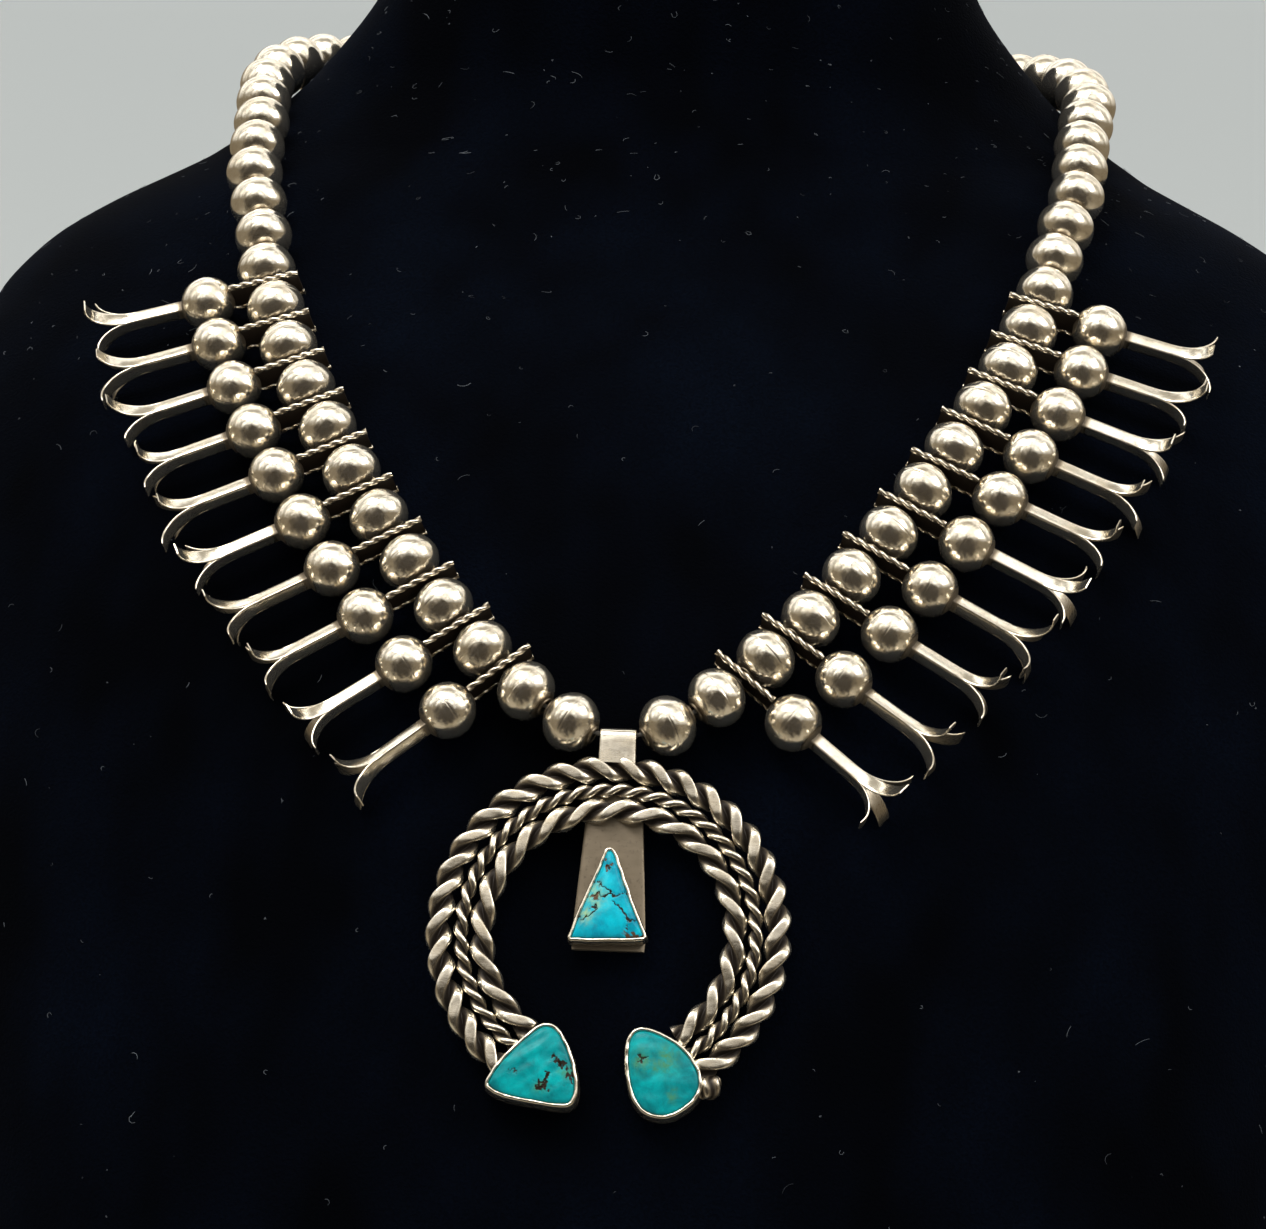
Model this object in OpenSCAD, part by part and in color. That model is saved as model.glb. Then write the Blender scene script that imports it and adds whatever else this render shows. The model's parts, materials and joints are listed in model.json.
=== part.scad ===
// A squash blossom necklace on a plain neck bust.
// Millimetres. The origin is the middle of the bust's base, +Z is up and the front faces -Y.

/* [Bust] */
// Height of the bust
bust_h = 295; // [285:1:310]
// Width across the shoulders
bust_w = 270; // [262:1:280]
// Depth from the chest to the back
bust_d = 200; // [194:1:208]
// Rounding of the bust's top and base edges
bust_edge = 5; // [3:0.5:8]

/* [Beads] */
// Diameter of a strand bead
bead_d = 10.2; // [9.6:0.1:10.6]
// Length of a strand bead along the thread
bead_l = 9.05; // [8.8:0.05:9.3]
// Radius of the arc that a bead's side follows
bead_arc = 4.7; // [4.6:0.05:5]
// Diameter of the hole through each bead
bore_d = 2; // [1.8:0.1:2.4]
// Diameter of the raised collar at each end of a bead
collar_d = 3.2; // [2.8:0.1:4]
// Free length on the thread between two neighbours
thread_gap = 0.45; // [0.4:0.05:0.6]
// Free length on the thread between the bail and its neighbour
bail_gap = 1.35; // [1.25:0.05:1.7]
// Diameter of the thread
thread_d = 0.9; // [0.6:0.1:1]
// Gap between a bead and the bust behind it
rest_gap = 0.3; // [0.2:0.1:0.6]
// Beads between the bail and the first blossom, on each side
low_beads = 2; // [1:1:3]

/* [Blossoms] */
// Blossoms on each side
blossoms = 10; // [8:1:11]
// Thickness of a blossom's plate along the thread
plate_t = 0.75; // [0.6:0.05:1]
// Width of the plate from front to back
plate_w = 4.6; // [4.2:0.1:5.2]
// Length of the plate inward of the thread
plate_in = 5.4; // [4.5:0.1:6]
// Diameter of the wire along the plate's front and back edges
rim_d = 1.2; // [1:0.1:1.4]
// Distance from the thread to the middle of the blossom's bead
blossom_reach = 11.5; // [11:0.1:12.5]
// Diameter of the blossom's bead
blossom_d = 9.5; // [9:0.1:9.9]
// Side of the square stem
stem_w = 2.3; // [2:0.1:2.8]
// Length of the stem from the bead to where the petals part
stem_l = 8.6; // [7:0.2:10]
// Width of a petal
petal_w = 2.3; // [2:0.1:2.6]
// Thickness of a petal
petal_t = 0.5; // [0.4:0.05:0.7]
// Radius that a petal curls to
petal_arc = 7.5; // [6.5:0.1:9]
// Angle through which a petal curls outward
petal_turn = 62; // [50:1:70]
// Angle by which the lowest blossoms' stems are turned about their length
low_roll = 20; // [10:1:30]
// Angle by which the highest blossoms' stems are turned about their length
high_roll = 50; // [40:1:55]
// Angle by which the blossoms lean up along the strand
blossom_lift = 7; // [4:0.5:9]
// Angle by which the blossoms lean toward the bust
blossom_sink = 3; // [0:0.5:4]

/* [Pendant] */
// Outer diameter of the horseshoe
naja_d = 59.6; // [56:0.2:62]
// Angle that the horseshoe's ropes span
naja_span = 290; // [286:1:292]
// Diameter of the outer rope
outer_rope_d = 4.6; // [4.2:0.1:5]
// Diameter of the middle rope
middle_rope_d = 2.6; // [2.4:0.1:3]
// Diameter of the inner rope
inner_rope_d = 4.2; // [4:0.1:4.6]
// Twist facets along the outer rope
outer_facets = 28; // [24:1:30]
// Twist facets along the middle rope
middle_facets = 37; // [30:1:40]
// Twist facets along the inner rope
inner_facets = 19; // [16:1:22]
// Depth of the grooves between a rope's twists, as a share of its radius
rope_groove = 0.5; // [0.3:0.05:0.55]
// Height left of the ropes where their front is filed flat, as a share of their radius
rope_file = 0.84; // [0.7:0.01:1]
// Distance from the thread to the top of the horseshoe
bail_drop = 3.2; // [3:0.1:4]
// Width of the bail
bail_w = 6; // [5:0.1:6.6]
// Thickness of the bail's strip
bail_t = 0.6; // [0.5:0.05:0.8]
// Radius of the bail's rounded inside
bail_r = 0.95; // [0.9:0.05:1.3]
// Width of the drop's tab at its foot
tab_w = 12.3; // [11.4:0.1:13.2]
// Width of the tab where it leaves the ropes
tab_top_w = 9.6; // [8.6:0.1:10.4]
// Length of the tab below the ropes
tab_l = 21; // [20:0.2:22]
// Thickness of the tab
tab_t = 1; // [0.8:0.1:1.2]

/* [Stones] */
// Width of the drop's setting
drop_w = 12.8; // [12:0.1:13.4]
// Height of the drop's setting
drop_h = 16; // [15:0.1:17]
// Width of the left end's setting
left_w = 15.2; // [14:0.1:16]
// Height of the left end's setting
left_h = 13.9; // [13:0.1:15]
// Width of the right end's setting
right_w = 12.9; // [12:0.1:13.8]
// Height of the right end's setting
right_h = 14.7; // [13.8:0.1:15.6]
// Height of the drop's setting above the tab's foot
drop_lift = 0.55; // [0.2:0.05:1.5]
// Least distance from the pendant's middle line to an end's setting
end_clear = 0.6; // [0.4:0.1:2]
// Height of the bezel walls
bezel_h = 4; // [3.6:0.1:4.4]
// Thickness of the bezel walls
bezel_t = 0.6; // [0.5:0.05:0.8]
// Width of the bevel round the bezels' lips
lip_bevel = 0.2; // [0.1:0.05:0.3]
// Thickness of the bezel floors
floor_t = 0.8; // [0.6:0.1:1.2]
// Gap round a stone in its bezel
stone_gap = 0.1; // [0.1:0.05:0.2]
// Height that a stone's dome rises above its bezel
dome_h = 0.9; // [0.6:0.1:1.4]
// Diameter of the rope's curled end beside the right stone
knob_d = 4; // [3:0.1:4.6]

/* [Clasp] */
// Least length of the barrel clasp
clasp_l = 14; // [12:0.5:18]
// Diameter of the barrel clasp
clasp_d = 6.4; // [6:0.1:7]
// Diameter of the clasp's bore
clasp_bore = 3; // [2.8:0.1:3.2]

/* [Hidden] */
silver = [0.74, 0.70, 0.62];
velvet = [0.04, 0.04, 0.06];
turquoise = [0.10, 0.62, 0.66];
eps = 0.01;
// How far the settings' backs lie inside the ropes' backs.
setting_inset = 0.4;
// Depth of solid metal above the ropes where the bail's legs close.
bail_floor = 0.5;

// Sections of the bust from its base up: height as a share of bust_h, half width as a share
// of half of bust_w, then front, widest line and back as shares of half of bust_d, and the
// roundness, where 2 is an ellipse and more is squarer.
SECTIONS = [
    [0.000, 0.867, -0.960, 0.05, 0.88, 2.40],
    [0.102, 0.896, -0.955, 0.05, 0.93, 2.40],
    [0.220, 0.941, -0.880, 0.07, 0.97, 2.35],
    [0.339, 0.978, -0.770, 0.10, 0.99, 2.30],
    [0.447, 0.996, -0.645, 0.14, 1.00, 2.30],
    [0.549, 1.000, -0.485, 0.21, 1.00, 2.30],
    [0.610, 0.989, -0.365, 0.27, 1.00, 2.25],
    [0.661, 0.963, -0.240, 0.33, 1.00, 2.20],
    [0.702, 0.919, -0.130, 0.38, 1.00, 2.15],
    [0.736, 0.856, -0.040, 0.42, 1.00, 2.10],
    [0.763, 0.770, 0.020, 0.46, 1.00, 2.05],
    [0.786, 0.678, 0.070, 0.50, 1.00, 2.00],
    [0.810, 0.600, 0.110, 0.53, 1.00, 2.00],
    [0.837, 0.534, 0.140, 0.54, 1.00, 2.00],
    [0.868, 0.472, 0.140, 0.53, 0.99, 2.00],
    [0.902, 0.418, 0.130, 0.51, 0.96, 2.00],
    [0.949, 0.378, 0.120, 0.49, 0.92, 2.00],
    [1.000, 0.358, 0.110, 0.48, 0.90, 2.00]
];

// The right half of the strand's route over the bust, from the pendant to the nape: height
// as a share of bust_h, and the angle round the bust from its front. The left half mirrors it.
ROUTE = [
    [0.428, 0],
    [0.456, 4.8],
    [0.502, 10.4],
    [0.549, 15.2],
    [0.595, 20],
    [0.641, 25],
    [0.693, 30.7],
    [0.736, 36.8],
    [0.776, 49],
    [0.813, 67],
    [0.842, 91],
    [0.856, 116],
    [0.862, 146],
    [0.864, 180]
];

// Settings' outlines, going round from the top, as shares of the setting's width and height.
DROP_SHAPE = [
    [-0.03, 0.50], [0.06, 0.46], [0.18, 0.22], [0.33, -0.09], [0.49, -0.38], [0.44, -0.47],
    [0.02, -0.49], [-0.42, -0.50], [-0.50, -0.42], [-0.33, -0.02], [-0.18, 0.28], [-0.11, 0.46]
];
LEFT_SHAPE = [
    [0.14, 0.50], [0.29, 0.41], [0.43, 0.12], [0.50, -0.20], [0.48, -0.41], [0.36, -0.50],
    [0.05, -0.47], [-0.28, -0.41], [-0.46, -0.32], [-0.49, -0.20], [-0.34, 0.07], [-0.03, 0.42]
];
RIGHT_SHAPE = [
    [-0.34, 0.50], [-0.15, 0.49], [0.18, 0.35], [0.42, 0.12], [0.50, -0.12], [0.38, -0.34],
    [0.10, -0.50], [-0.19, -0.48], [-0.38, -0.31], [-0.48, -0.02], [-0.50, 0.28], [-0.45, 0.43]
];

// Smooth curves through chosen points.
function blend4(a, b, c, d, t) =
    b + 0.5 * t * (c - a + t * (2 * a - 5 * b + 4 * c - d + t * (3 * (b - c) + d - a)));
function clamp(i, n) = max(0, min(n - 1, i));
function through(p, i, t) =
    blend4(p[clamp(i - 1, len(p))], p[i], p[clamp(i + 1, len(p))], p[clamp(i + 2, len(p))], t);
function around(p, i, t) =
    let (n = len(p)) blend4(p[(i + n - 1) % n], p[i], p[(i + 1) % n], p[(i + 2) % n], t);
function unit(v) = v / norm(v);

// The bust's surface.
function row_slope(i) =
    let (a = SECTIONS[clamp(i - 1, len(SECTIONS))], b = SECTIONS[clamp(i + 1, len(SECTIONS))])
    (b - a) / (b[0] - a[0]);
function row_index(s) =
    max([0, for (i = [1 : len(SECTIONS) - 2]) if (SECTIONS[i][0] <= s) i]);
function bust_row(s) =
    let (i = row_index(s), a = SECTIONS[i], b = SECTIONS[i + 1], d = b[0] - a[0],
        t = (s - a[0]) / d)
    (1 + t * t * (2 * t - 3)) * a + t * (1 - t) * (1 - t) * d * row_slope(i)
        + t * t * (3 - 2 * t) * b - t * t * (1 - t) * d * row_slope(i + 1);
function edge_inset(h) =
    let (e = bust_edge - min(h, bust_h - h)) e <= 0 ? 0 : bust_edge - sqrt(bust_edge ^ 2 - e ^ 2);
function bust_point(h, a) =
    let (r = bust_row(h / bust_h), cut = edge_inset(h), p = 2 / r[5],
        side = r[3] * bust_d / 2, reach = (cos(a) > 0 ? side - r[2] * bust_d / 2
            : r[4] * bust_d / 2 - side) - cut)
    [
        (r[1] * bust_w / 2 - cut) * sign(sin(a)) * abs(sin(a)) ^ p,
        side - reach * sign(cos(a)) * abs(cos(a)) ^ p,
        h
    ];
function bust_normal(h, a) =
    unit(cross(bust_point(h, a + 0.5) - bust_point(h, a - 0.5),
        bust_point(h + 0.5, a) - bust_point(h - 0.5, a)));

// The strand's middle line, at the beads' radius and a gap off the bust.
route_steps = 6;
off_bust = bead_d / 2 + rest_gap;
route_places = [
    for (i = [0 : len(ROUTE) - 2], j = [0 : route_steps - 1]) through(ROUTE, i, j / route_steps),
    ROUTE[len(ROUTE) - 1]
];
route_normals = [for (p = route_places) bust_normal(p[0] * bust_h, p[1])];
route_points = [
    for (i = [0 : len(route_places) - 1])
        bust_point(route_places[i][0] * bust_h, route_places[i][1]) + off_bust * route_normals[i]
];
route_steps_l = [
    for (i = [1 : len(route_points) - 1]) norm(route_points[i] - route_points[i - 1])
];
route_lengths = [
    for (i = 0, s = 0; i < len(route_points); s = s + (i < len(route_steps_l)
        ? route_steps_l[i] : 0), i = i + 1) s
];
half_l = route_lengths[len(route_lengths) - 1];
function along(values, s) =
    [for (k = [0 : 2]) lookup(s, [for (i = [0 : len(values) - 1]) [route_lengths[i], values[i][k]]])];
function strand_point(s) = along(route_points, s);
function strand_run(s) = unit(strand_point(s + 1) - strand_point(s - 1));
function strand_out(s) =
    let (t = strand_run(s), n = along(route_normals, s)) unit(n - (n * t) * t);

// Places along the strand, counted from the pendant's bail.
plain_pitch = bead_l + thread_gap;
plate_pitch = bead_l + plate_t + 2 * thread_gap;
first_bead = bail_w / 2 + bail_gap + bead_l / 2;
main_beads = low_beads + blossoms;
function bead_place(k) =
    first_bead + min(k - 1, low_beads - 1) * plain_pitch
        + max(0, k - low_beads) * plate_pitch;
function plate_place(k) = bead_place(low_beads + k) - plate_pitch / 2;
neck_start = bead_place(main_beads) + plain_pitch;
neck_count = floor((half_l - clasp_l / 2 - thread_gap - bead_l / 2 - neck_start) / plain_pitch) + 1;
neck_end = neck_start + (neck_count - 1) * plain_pitch;
clasp_run = 2 * (half_l - neck_end - bead_l / 2 - thread_gap);

// The pendant hangs from the thread, in line with the lowest beads' holes, and leans back on
// the chest.
hole_end = strand_point(first_bead) - bead_l / 2 * strand_run(first_bead);
hang = [0, hole_end[1], hole_end[2]];
naja_centre = -(bail_drop + naja_d / 2);
naja_back = outer_rope_d / 2;
low_h = hang[2] - naja_d;
rest_point = bust_point(low_h, 0) + (naja_back + rest_gap) * bust_normal(low_h, 0);
naja_lean = atan2(hang[1] - rest_point[1], hang[2] - rest_point[2]);
outer_r = naja_d / 2 - outer_rope_d / 2;
middle_r = naja_d / 2 - outer_rope_d - middle_rope_d / 2;
inner_r = naja_d / 2 - outer_rope_d - middle_rope_d - inner_rope_d / 2;
ring_in = inner_r - inner_rope_d / 2;
setting_back = naja_back - setting_inset;
tab_front = setting_back - tab_t;
// Places of the settings in the pendant's plane, from the middle of the horseshoe.
end_way = [sin(naja_span / 2), cos(naja_span / 2)];
rope_end = middle_r * end_way;
drop_size = [drop_w, drop_h];
left_size = [left_w, left_h];
right_size = [right_w, right_h];
drop_place = [0, ring_in - tab_l + drop_lift + drop_h / 2];
left_out = max(rope_end[0] - 0.18 * left_w, left_w / 2 + end_clear);
right_out = max(rope_end[0] - 0.28 * right_w, right_w / 2 + end_clear);
left_place = [-left_out, rope_end[1] - 0.2 * left_h];
right_place = [right_out, rope_end[1] - 0.23 * right_h];
knob_place = (outer_r + 0.7 * knob_d) * end_way;

// Ropes.
ring_stations = 5 * outer_facets;
function rope_reach(d, a) = d / 2 * (1 - rope_groove / 2 + rope_groove / 2 * cos(2 * a));
function rope_points(r, d, twist, turns) = [
    for (a = turns)
        let (e = rope_reach(d, a - twist)) [r + e * cos(a), min(e * sin(a), rope_file * d / 2)]
];
function ring_section(u) =
    let (
        outer_twist = 180 * outer_facets * u,
        middle_twist = -180 * middle_facets * u,
        inner_twist = -180 * inner_facets * u
    )
    concat(
        rope_points(outer_r, outer_rope_d, outer_twist, [0 : 36 : 144]),
        rope_points(middle_r, middle_rope_d, middle_twist, [50 : 40 : 130]),
        rope_points(inner_r, inner_rope_d, inner_twist, [36 : 36 : 324]),
        rope_points(middle_r, middle_rope_d, middle_twist, [230 : 80 : 310]),
        rope_points(outer_r, outer_rope_d, outer_twist, [216 : 36 : 324])
    );
module rope_ring() {
    sections = [for (i = [0 : ring_stations]) ring_section(i / ring_stations)];
    n = len(sections[0]);
    points = [
        for (i = [0 : ring_stations])
            let (a = (i / ring_stations - 0.5) * naja_span)
            for (p = sections[i]) [p[0] * sin(a), -p[1], p[0] * cos(a)]
    ];
    sides = [
        for (i = [0 : ring_stations - 1], j = [0 : n - 1])
            let (k = (j + 1) % n, a = i * n, b = a + n)
            for (f = [[a + j, b + j, b + k], [a + j, b + k, a + k]]) f
    ];
    start = [for (j = [0 : n - 1]) j];
    end = [for (j = [n - 1 : -1 : 0]) ring_stations * n + j];
    polyhedron(points, concat([start], sides, [end]), convexity = 10);
}

// Settings and stones.
function outline(shape, size, inset) =
    let (
        n = len(shape),
        p = [
            for (i = [0 : n - 1], t = [0, 0.5])
                let (q = around(shape, i, t)) [q[0] * size[0], q[1] * size[1]]
        ],
        m = len(p)
    )
    [
        for (i = [0 : m - 1])
            let (d = unit(p[(i + 1) % m] - p[(i + m - 1) % m])) p[i] + inset * [d[1], -d[0]]
    ];
module upright(place, back) {
    translate([place[0], back, naja_centre + place[1]]) rotate([90, 0, 0]) children();
}
module setting(shape, size, place, back) {
    wall = bezel_h + back - setting_back;
    upright(place, back) hull() {
        linear_extrude(wall - lip_bevel) polygon(outline(shape, size, 0));
        linear_extrude(wall) polygon(outline(shape, size, lip_bevel));
    }
}
module pocket(shape, size, place, back) {
    upright(place, back - floor_t)
        hull() linear_extrude(2 * bezel_h) polygon(outline(shape, size, bezel_t));
}
module stone(shape, size, place, back) {
    depth = bezel_h + back - setting_back - floor_t - stone_gap;
    half = max(size) / 2;
    dome_r = (half ^ 2 + dome_h ^ 2) / (2 * dome_h);
    color(turquoise) hung() upright(place, back - floor_t - stone_gap) intersection() {
        linear_extrude(depth + 2 * dome_h) polygon(outline(shape, size, bezel_t + stone_gap));
        translate([0, 0, depth + dome_h - dome_r]) sphere(dome_r, $fn = 96);
    }
}
module hung() {
    translate(hang) rotate([-naja_lean, 0, 0]) children();
}
module bail() {
    leg = bail_drop + outer_rope_d / 3;
    slot = bail_drop - bail_floor;
    inside_z = thread_d / 2 + rest_gap - bail_r;
    outside_r = bail_r + bail_t;
    translate([-bail_w / 2, 0, inside_z]) rotate([0, 90, 0]) difference() {
        hull() {
            cylinder(bail_w, outside_r, outside_r, $fn = 48);
            translate([0, -outside_r, 0]) cube([leg + inside_z, 2 * outside_r, bail_w]);
        }
        hull() {
            translate([0, 0, -1]) cylinder(bail_w + 2, bail_r, bail_r, $fn = 48);
            translate([0, -bail_r, -1]) cube([slot + inside_z, 2 * bail_r, bail_w + 2]);
        }
    }
}
module tab() {
    foot = ring_in - tab_l;
    top = middle_r;
    top_w = tab_top_w - (tab_w - tab_top_w) * (top - ring_in) / tab_l;
    upright([drop_place[0], 0], setting_back) linear_extrude(tab_t) polygon([
        [-top_w / 2, top], [top_w / 2, top], [tab_w / 2, foot], [-tab_w / 2, foot]
    ]);
}
module turned_end(place, d) {
    translate([place[0], 0, naja_centre + place[1]]) sphere(d / 2, $fn = 20);
}
module naja() {
    color(silver) hung() {
        bail();
        difference() {
            union() {
                translate([0, 0, naja_centre]) rope_ring();
                setting(LEFT_SHAPE, left_size, left_place, setting_back);
                setting(RIGHT_SHAPE, right_size, right_place, setting_back);
                setting(DROP_SHAPE, drop_size, drop_place, tab_front + eps);
                tab();
                hull() {
                    turned_end(knob_place, knob_d);
                    turned_end(outer_r * end_way, 0.8 * outer_rope_d);
                }
            }
            pocket(LEFT_SHAPE, left_size, left_place, setting_back);
            pocket(RIGHT_SHAPE, right_size, right_place, setting_back);
            pocket(DROP_SHAPE, drop_size, drop_place, tab_front);
        }
    }
}
module stone_left() stone(LEFT_SHAPE, left_size, left_place, setting_back);
module stone_right() stone(RIGHT_SHAPE, right_size, right_place, setting_back);
module stone_drop() stone(DROP_SHAPE, drop_size, drop_place, tab_front);

// Beads and blossoms.
module on_strand(s) {
    t = strand_run(s);
    n = strand_out(s);
    b = cross(t, n);
    p = strand_point(s);
    multmatrix([
        [b[0], -n[0], t[0], p[0]],
        [b[1], -n[1], t[1], p[1]],
        [b[2], -n[2], t[2], p[2]]
    ]) children();
}
module side(name) {
    mirror([name == "left" ? 1 : 0, 0, 0]) children();
}
module bead() {
    color(silver) rotate_extrude($fn = 64) {
        intersection() {
            translate([bead_d / 2 - bead_arc, 0]) circle(bead_arc, $fn = 64);
            translate([bore_d / 2, -bead_l / 2]) square([bead_d, bead_l]);
        }
        translate([bore_d / 2, -bead_l / 2]) square([(collar_d - bore_d) / 2, bead_l]);
    }
}
module strand_bead(name, k) {
    side(name) on_strand(bead_place(k)) bead();
}
module neck_beads(name) {
    side(name) for (i = [0 : neck_count - 1]) on_strand(neck_start + i * plain_pitch) bead();
}
petal_mid = stem_w / 2 - petal_t / 2 - 0.05;
function petal_side(off) = [
    for (a = [0 : petal_turn / 8 : petal_turn + eps])
        [(petal_arc + off) * sin(a), petal_mid + petal_arc - (petal_arc + off) * cos(a)]
];
module petal() {
    under = petal_side(petal_t / 2);
    over = petal_side(-petal_t / 2);
    linear_extrude(petal_w, center = true) polygon(concat(
        [[-stem_w / 2, petal_mid - petal_t / 2]],
        under,
        [for (i = [len(over) - 1 : -1 : 0]) over[i]],
        [[-stem_w / 2, petal_mid + petal_t / 2]]
    ));
}
module blossom(name, k) {
    plate_out = blossom_reach - blossom_d / 2 + plate_t;
    stem_start = blossom_reach + blossom_d / 2 - stem_w / 2;
    stem_end = blossom_reach + blossom_d / 2 + stem_l;
    roll = 45 + low_roll + (high_roll - low_roll) * (k - 1) / max(1, blossoms - 1);
    color(silver) side(name) on_strand(plate_place(k)) rotate([0, -blossom_lift, blossom_sink])
        difference() {
            union() {
                translate([-plate_in, -plate_w / 2, -plate_t / 2])
                    cube([plate_in + plate_out, plate_w, plate_t]);
                for (y = [-plate_w / 2, plate_w / 2])
                    translate([-plate_in, y, 0]) rotate([0, 90, 0])
                        cylinder(plate_in + plate_out, rim_d / 2, rim_d / 2, $fn = 24);
                translate([blossom_reach, 0, 0]) rotate([0, 0, 90]) sphere(blossom_d / 2, $fn = 64);
                translate([stem_start, 0, 0]) rotate([roll, 0, 0])
                    translate([0, -stem_w / 2, -stem_w / 2])
                        cube([stem_end - stem_start, stem_w, stem_w]);
                for (a = [0 : 90 : 270])
                    translate([stem_end, 0, 0]) rotate([roll + a, 0, 0]) petal();
            }
            cylinder(4 * plate_t, bore_d / 2, bore_d / 2, center = true, $fn = 32);
        }
}

// The thread, one ring of its tube at each bead, and the clasp that hides its ends.
thread_sides = 6;
thread_places = concat(
    [for (k = [1 : main_beads]) bead_place(k)],
    [for (i = [0 : neck_count - 1]) neck_start + i * plain_pitch],
    [half_l - clasp_run / 2]
);
function thread_ring(p, t, n) =
    let (c = cross(t, n))
    [
        for (j = [0 : thread_sides - 1])
            let (a = 360 * j / thread_sides) p + thread_d / 2 * (cos(a) * n + sin(a) * c)
    ];
module thread() {
    nape = strand_point(half_l);
    n_low = strand_out(0);
    n_top = strand_out(half_l);
    right = [for (s = thread_places) [strand_point(s), strand_run(s), strand_out(s)]];
    left = [
        for (i = [len(right) - 1 : -1 : 0])
            let (r = right[i])
            [
                [-r[0][0], r[0][1], r[0][2]],
                [r[1][0], -r[1][1], -r[1][2]],
                [-r[2][0], r[2][1], r[2][2]]
            ]
    ];
    low_x = bail_w / 2 + bail_gap / 2;
    stops = concat(
        [[[0, hang[1], hang[2]], [1, 0, 0], n_low], [[low_x, hang[1], hang[2]], [1, 0, 0], n_low]],
        right,
        [[[0, nape[1], nape[2]], [-1, 0, 0], [0, n_top[1], n_top[2]]]],
        left,
        [[[-low_x, hang[1], hang[2]], [1, 0, 0], n_low]]
    );
    rings = [for (q = stops) thread_ring(q[0], q[1], q[2])];
    m = len(rings);
    points = [for (r = rings) for (p = r) p];
    faces = [
        for (i = [0 : m - 1], j = [0 : thread_sides - 1])
            let (
                a = i * thread_sides,
                b = ((i + 1) % m) * thread_sides,
                k = (j + 1) % thread_sides
            )
            for (f = [[a + j, b + j, b + k], [a + j, b + k, a + k]]) f
    ];
    color([0.2, 0.2, 0.2]) polyhedron(points, faces, convexity = 10);
}
module clasp() {
    run = clasp_run;
    cut = clasp_d / 5;
    color(silver) translate(strand_point(half_l)) rotate([0, 90, 0]) rotate_extrude($fn = 48) polygon([
        [clasp_bore / 2, -run / 2], [clasp_d / 2 - cut, -run / 2], [clasp_d / 2, -run / 2 + cut],
        [clasp_d / 2, run / 2 - cut], [clasp_d / 2 - cut, run / 2], [clasp_bore / 2, run / 2]
    ]);
}

// The bust, lofted through two rings to each section.
around_steps = 48;
function level_list() = concat(
    [0, bust_edge * 0.3, bust_edge],
    [for (i = [0 : len(SECTIONS) - 2], t = [0, 0.5])
        let (h = bust_h * (SECTIONS[i][0] * (1 - t) + SECTIONS[i + 1][0] * t))
        if (h > 1.5 * bust_edge && h < bust_h - 1.5 * bust_edge) h],
    [bust_h - bust_edge, bust_h - bust_edge * 0.3, bust_h]
);
module bust() {
    levels = level_list();
    m = len(levels);
    points = [
        for (h = levels, j = [0 : around_steps - 1]) bust_point(h, 360 * (j + 0.5) / around_steps)
    ];
    sides = [
        for (i = [0 : m - 2], j = [0 : around_steps - 1])
            let (k = (j + 1) % around_steps, a = i * around_steps, b = a + around_steps)
            for (f = [[a + j, b + j, b + k], [a + j, b + k, a + k]]) f
    ];
    base = [for (j = [0 : around_steps - 1]) j];
    top = [for (j = [around_steps - 1 : -1 : 0]) (m - 1) * around_steps + j];
    color(velvet) polyhedron(points, concat([base], sides, [top]), convexity = 10);
}

bust();
thread();
clasp();
naja();
stone_left();
stone_right();
stone_drop();
for (s = ["left", "right"], k = [1 : main_beads])
    strand_bead(s, k);
for (s = ["left", "right"])
    neck_beads(s);
for (s = ["left", "right"], k = [1 : blossoms])
    blossom(s, k);
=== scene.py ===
# The looks of a squash blossom necklace on a plain neck bust.
# Metres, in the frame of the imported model: +Z is up and the front faces -Y.

import json
import math

import bpy
import numpy as np
from mathutils import Matrix, Vector


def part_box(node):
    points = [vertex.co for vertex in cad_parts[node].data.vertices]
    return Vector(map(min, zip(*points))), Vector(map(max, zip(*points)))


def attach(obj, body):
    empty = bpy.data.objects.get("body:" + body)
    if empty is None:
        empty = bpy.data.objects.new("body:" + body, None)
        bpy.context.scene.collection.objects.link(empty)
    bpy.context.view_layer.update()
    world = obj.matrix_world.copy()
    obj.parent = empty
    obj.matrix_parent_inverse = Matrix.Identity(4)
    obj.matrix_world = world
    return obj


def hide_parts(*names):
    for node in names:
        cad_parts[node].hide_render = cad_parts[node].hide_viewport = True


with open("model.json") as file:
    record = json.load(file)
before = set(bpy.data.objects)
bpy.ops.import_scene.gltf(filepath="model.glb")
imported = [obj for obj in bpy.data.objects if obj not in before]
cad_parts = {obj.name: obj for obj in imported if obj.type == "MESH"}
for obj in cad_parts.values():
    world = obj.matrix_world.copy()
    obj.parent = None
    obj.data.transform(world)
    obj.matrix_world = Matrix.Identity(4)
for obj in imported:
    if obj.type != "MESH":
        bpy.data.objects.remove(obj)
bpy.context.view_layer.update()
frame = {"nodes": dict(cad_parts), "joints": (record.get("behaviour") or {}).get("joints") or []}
MM = 0.001


# Camera, at the photograph's angle to the bust.
CAMERA_AIM = Vector((1.6, -70, 150)) * MM
CAMERA_DISTANCE = 800 * MM
CAMERA_TURN = math.radians(3.2)
CAMERA_ROLL = math.radians(2)
FRAME_WIDTH = 207.6 * MM
SENSOR_WIDTH = 36


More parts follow.
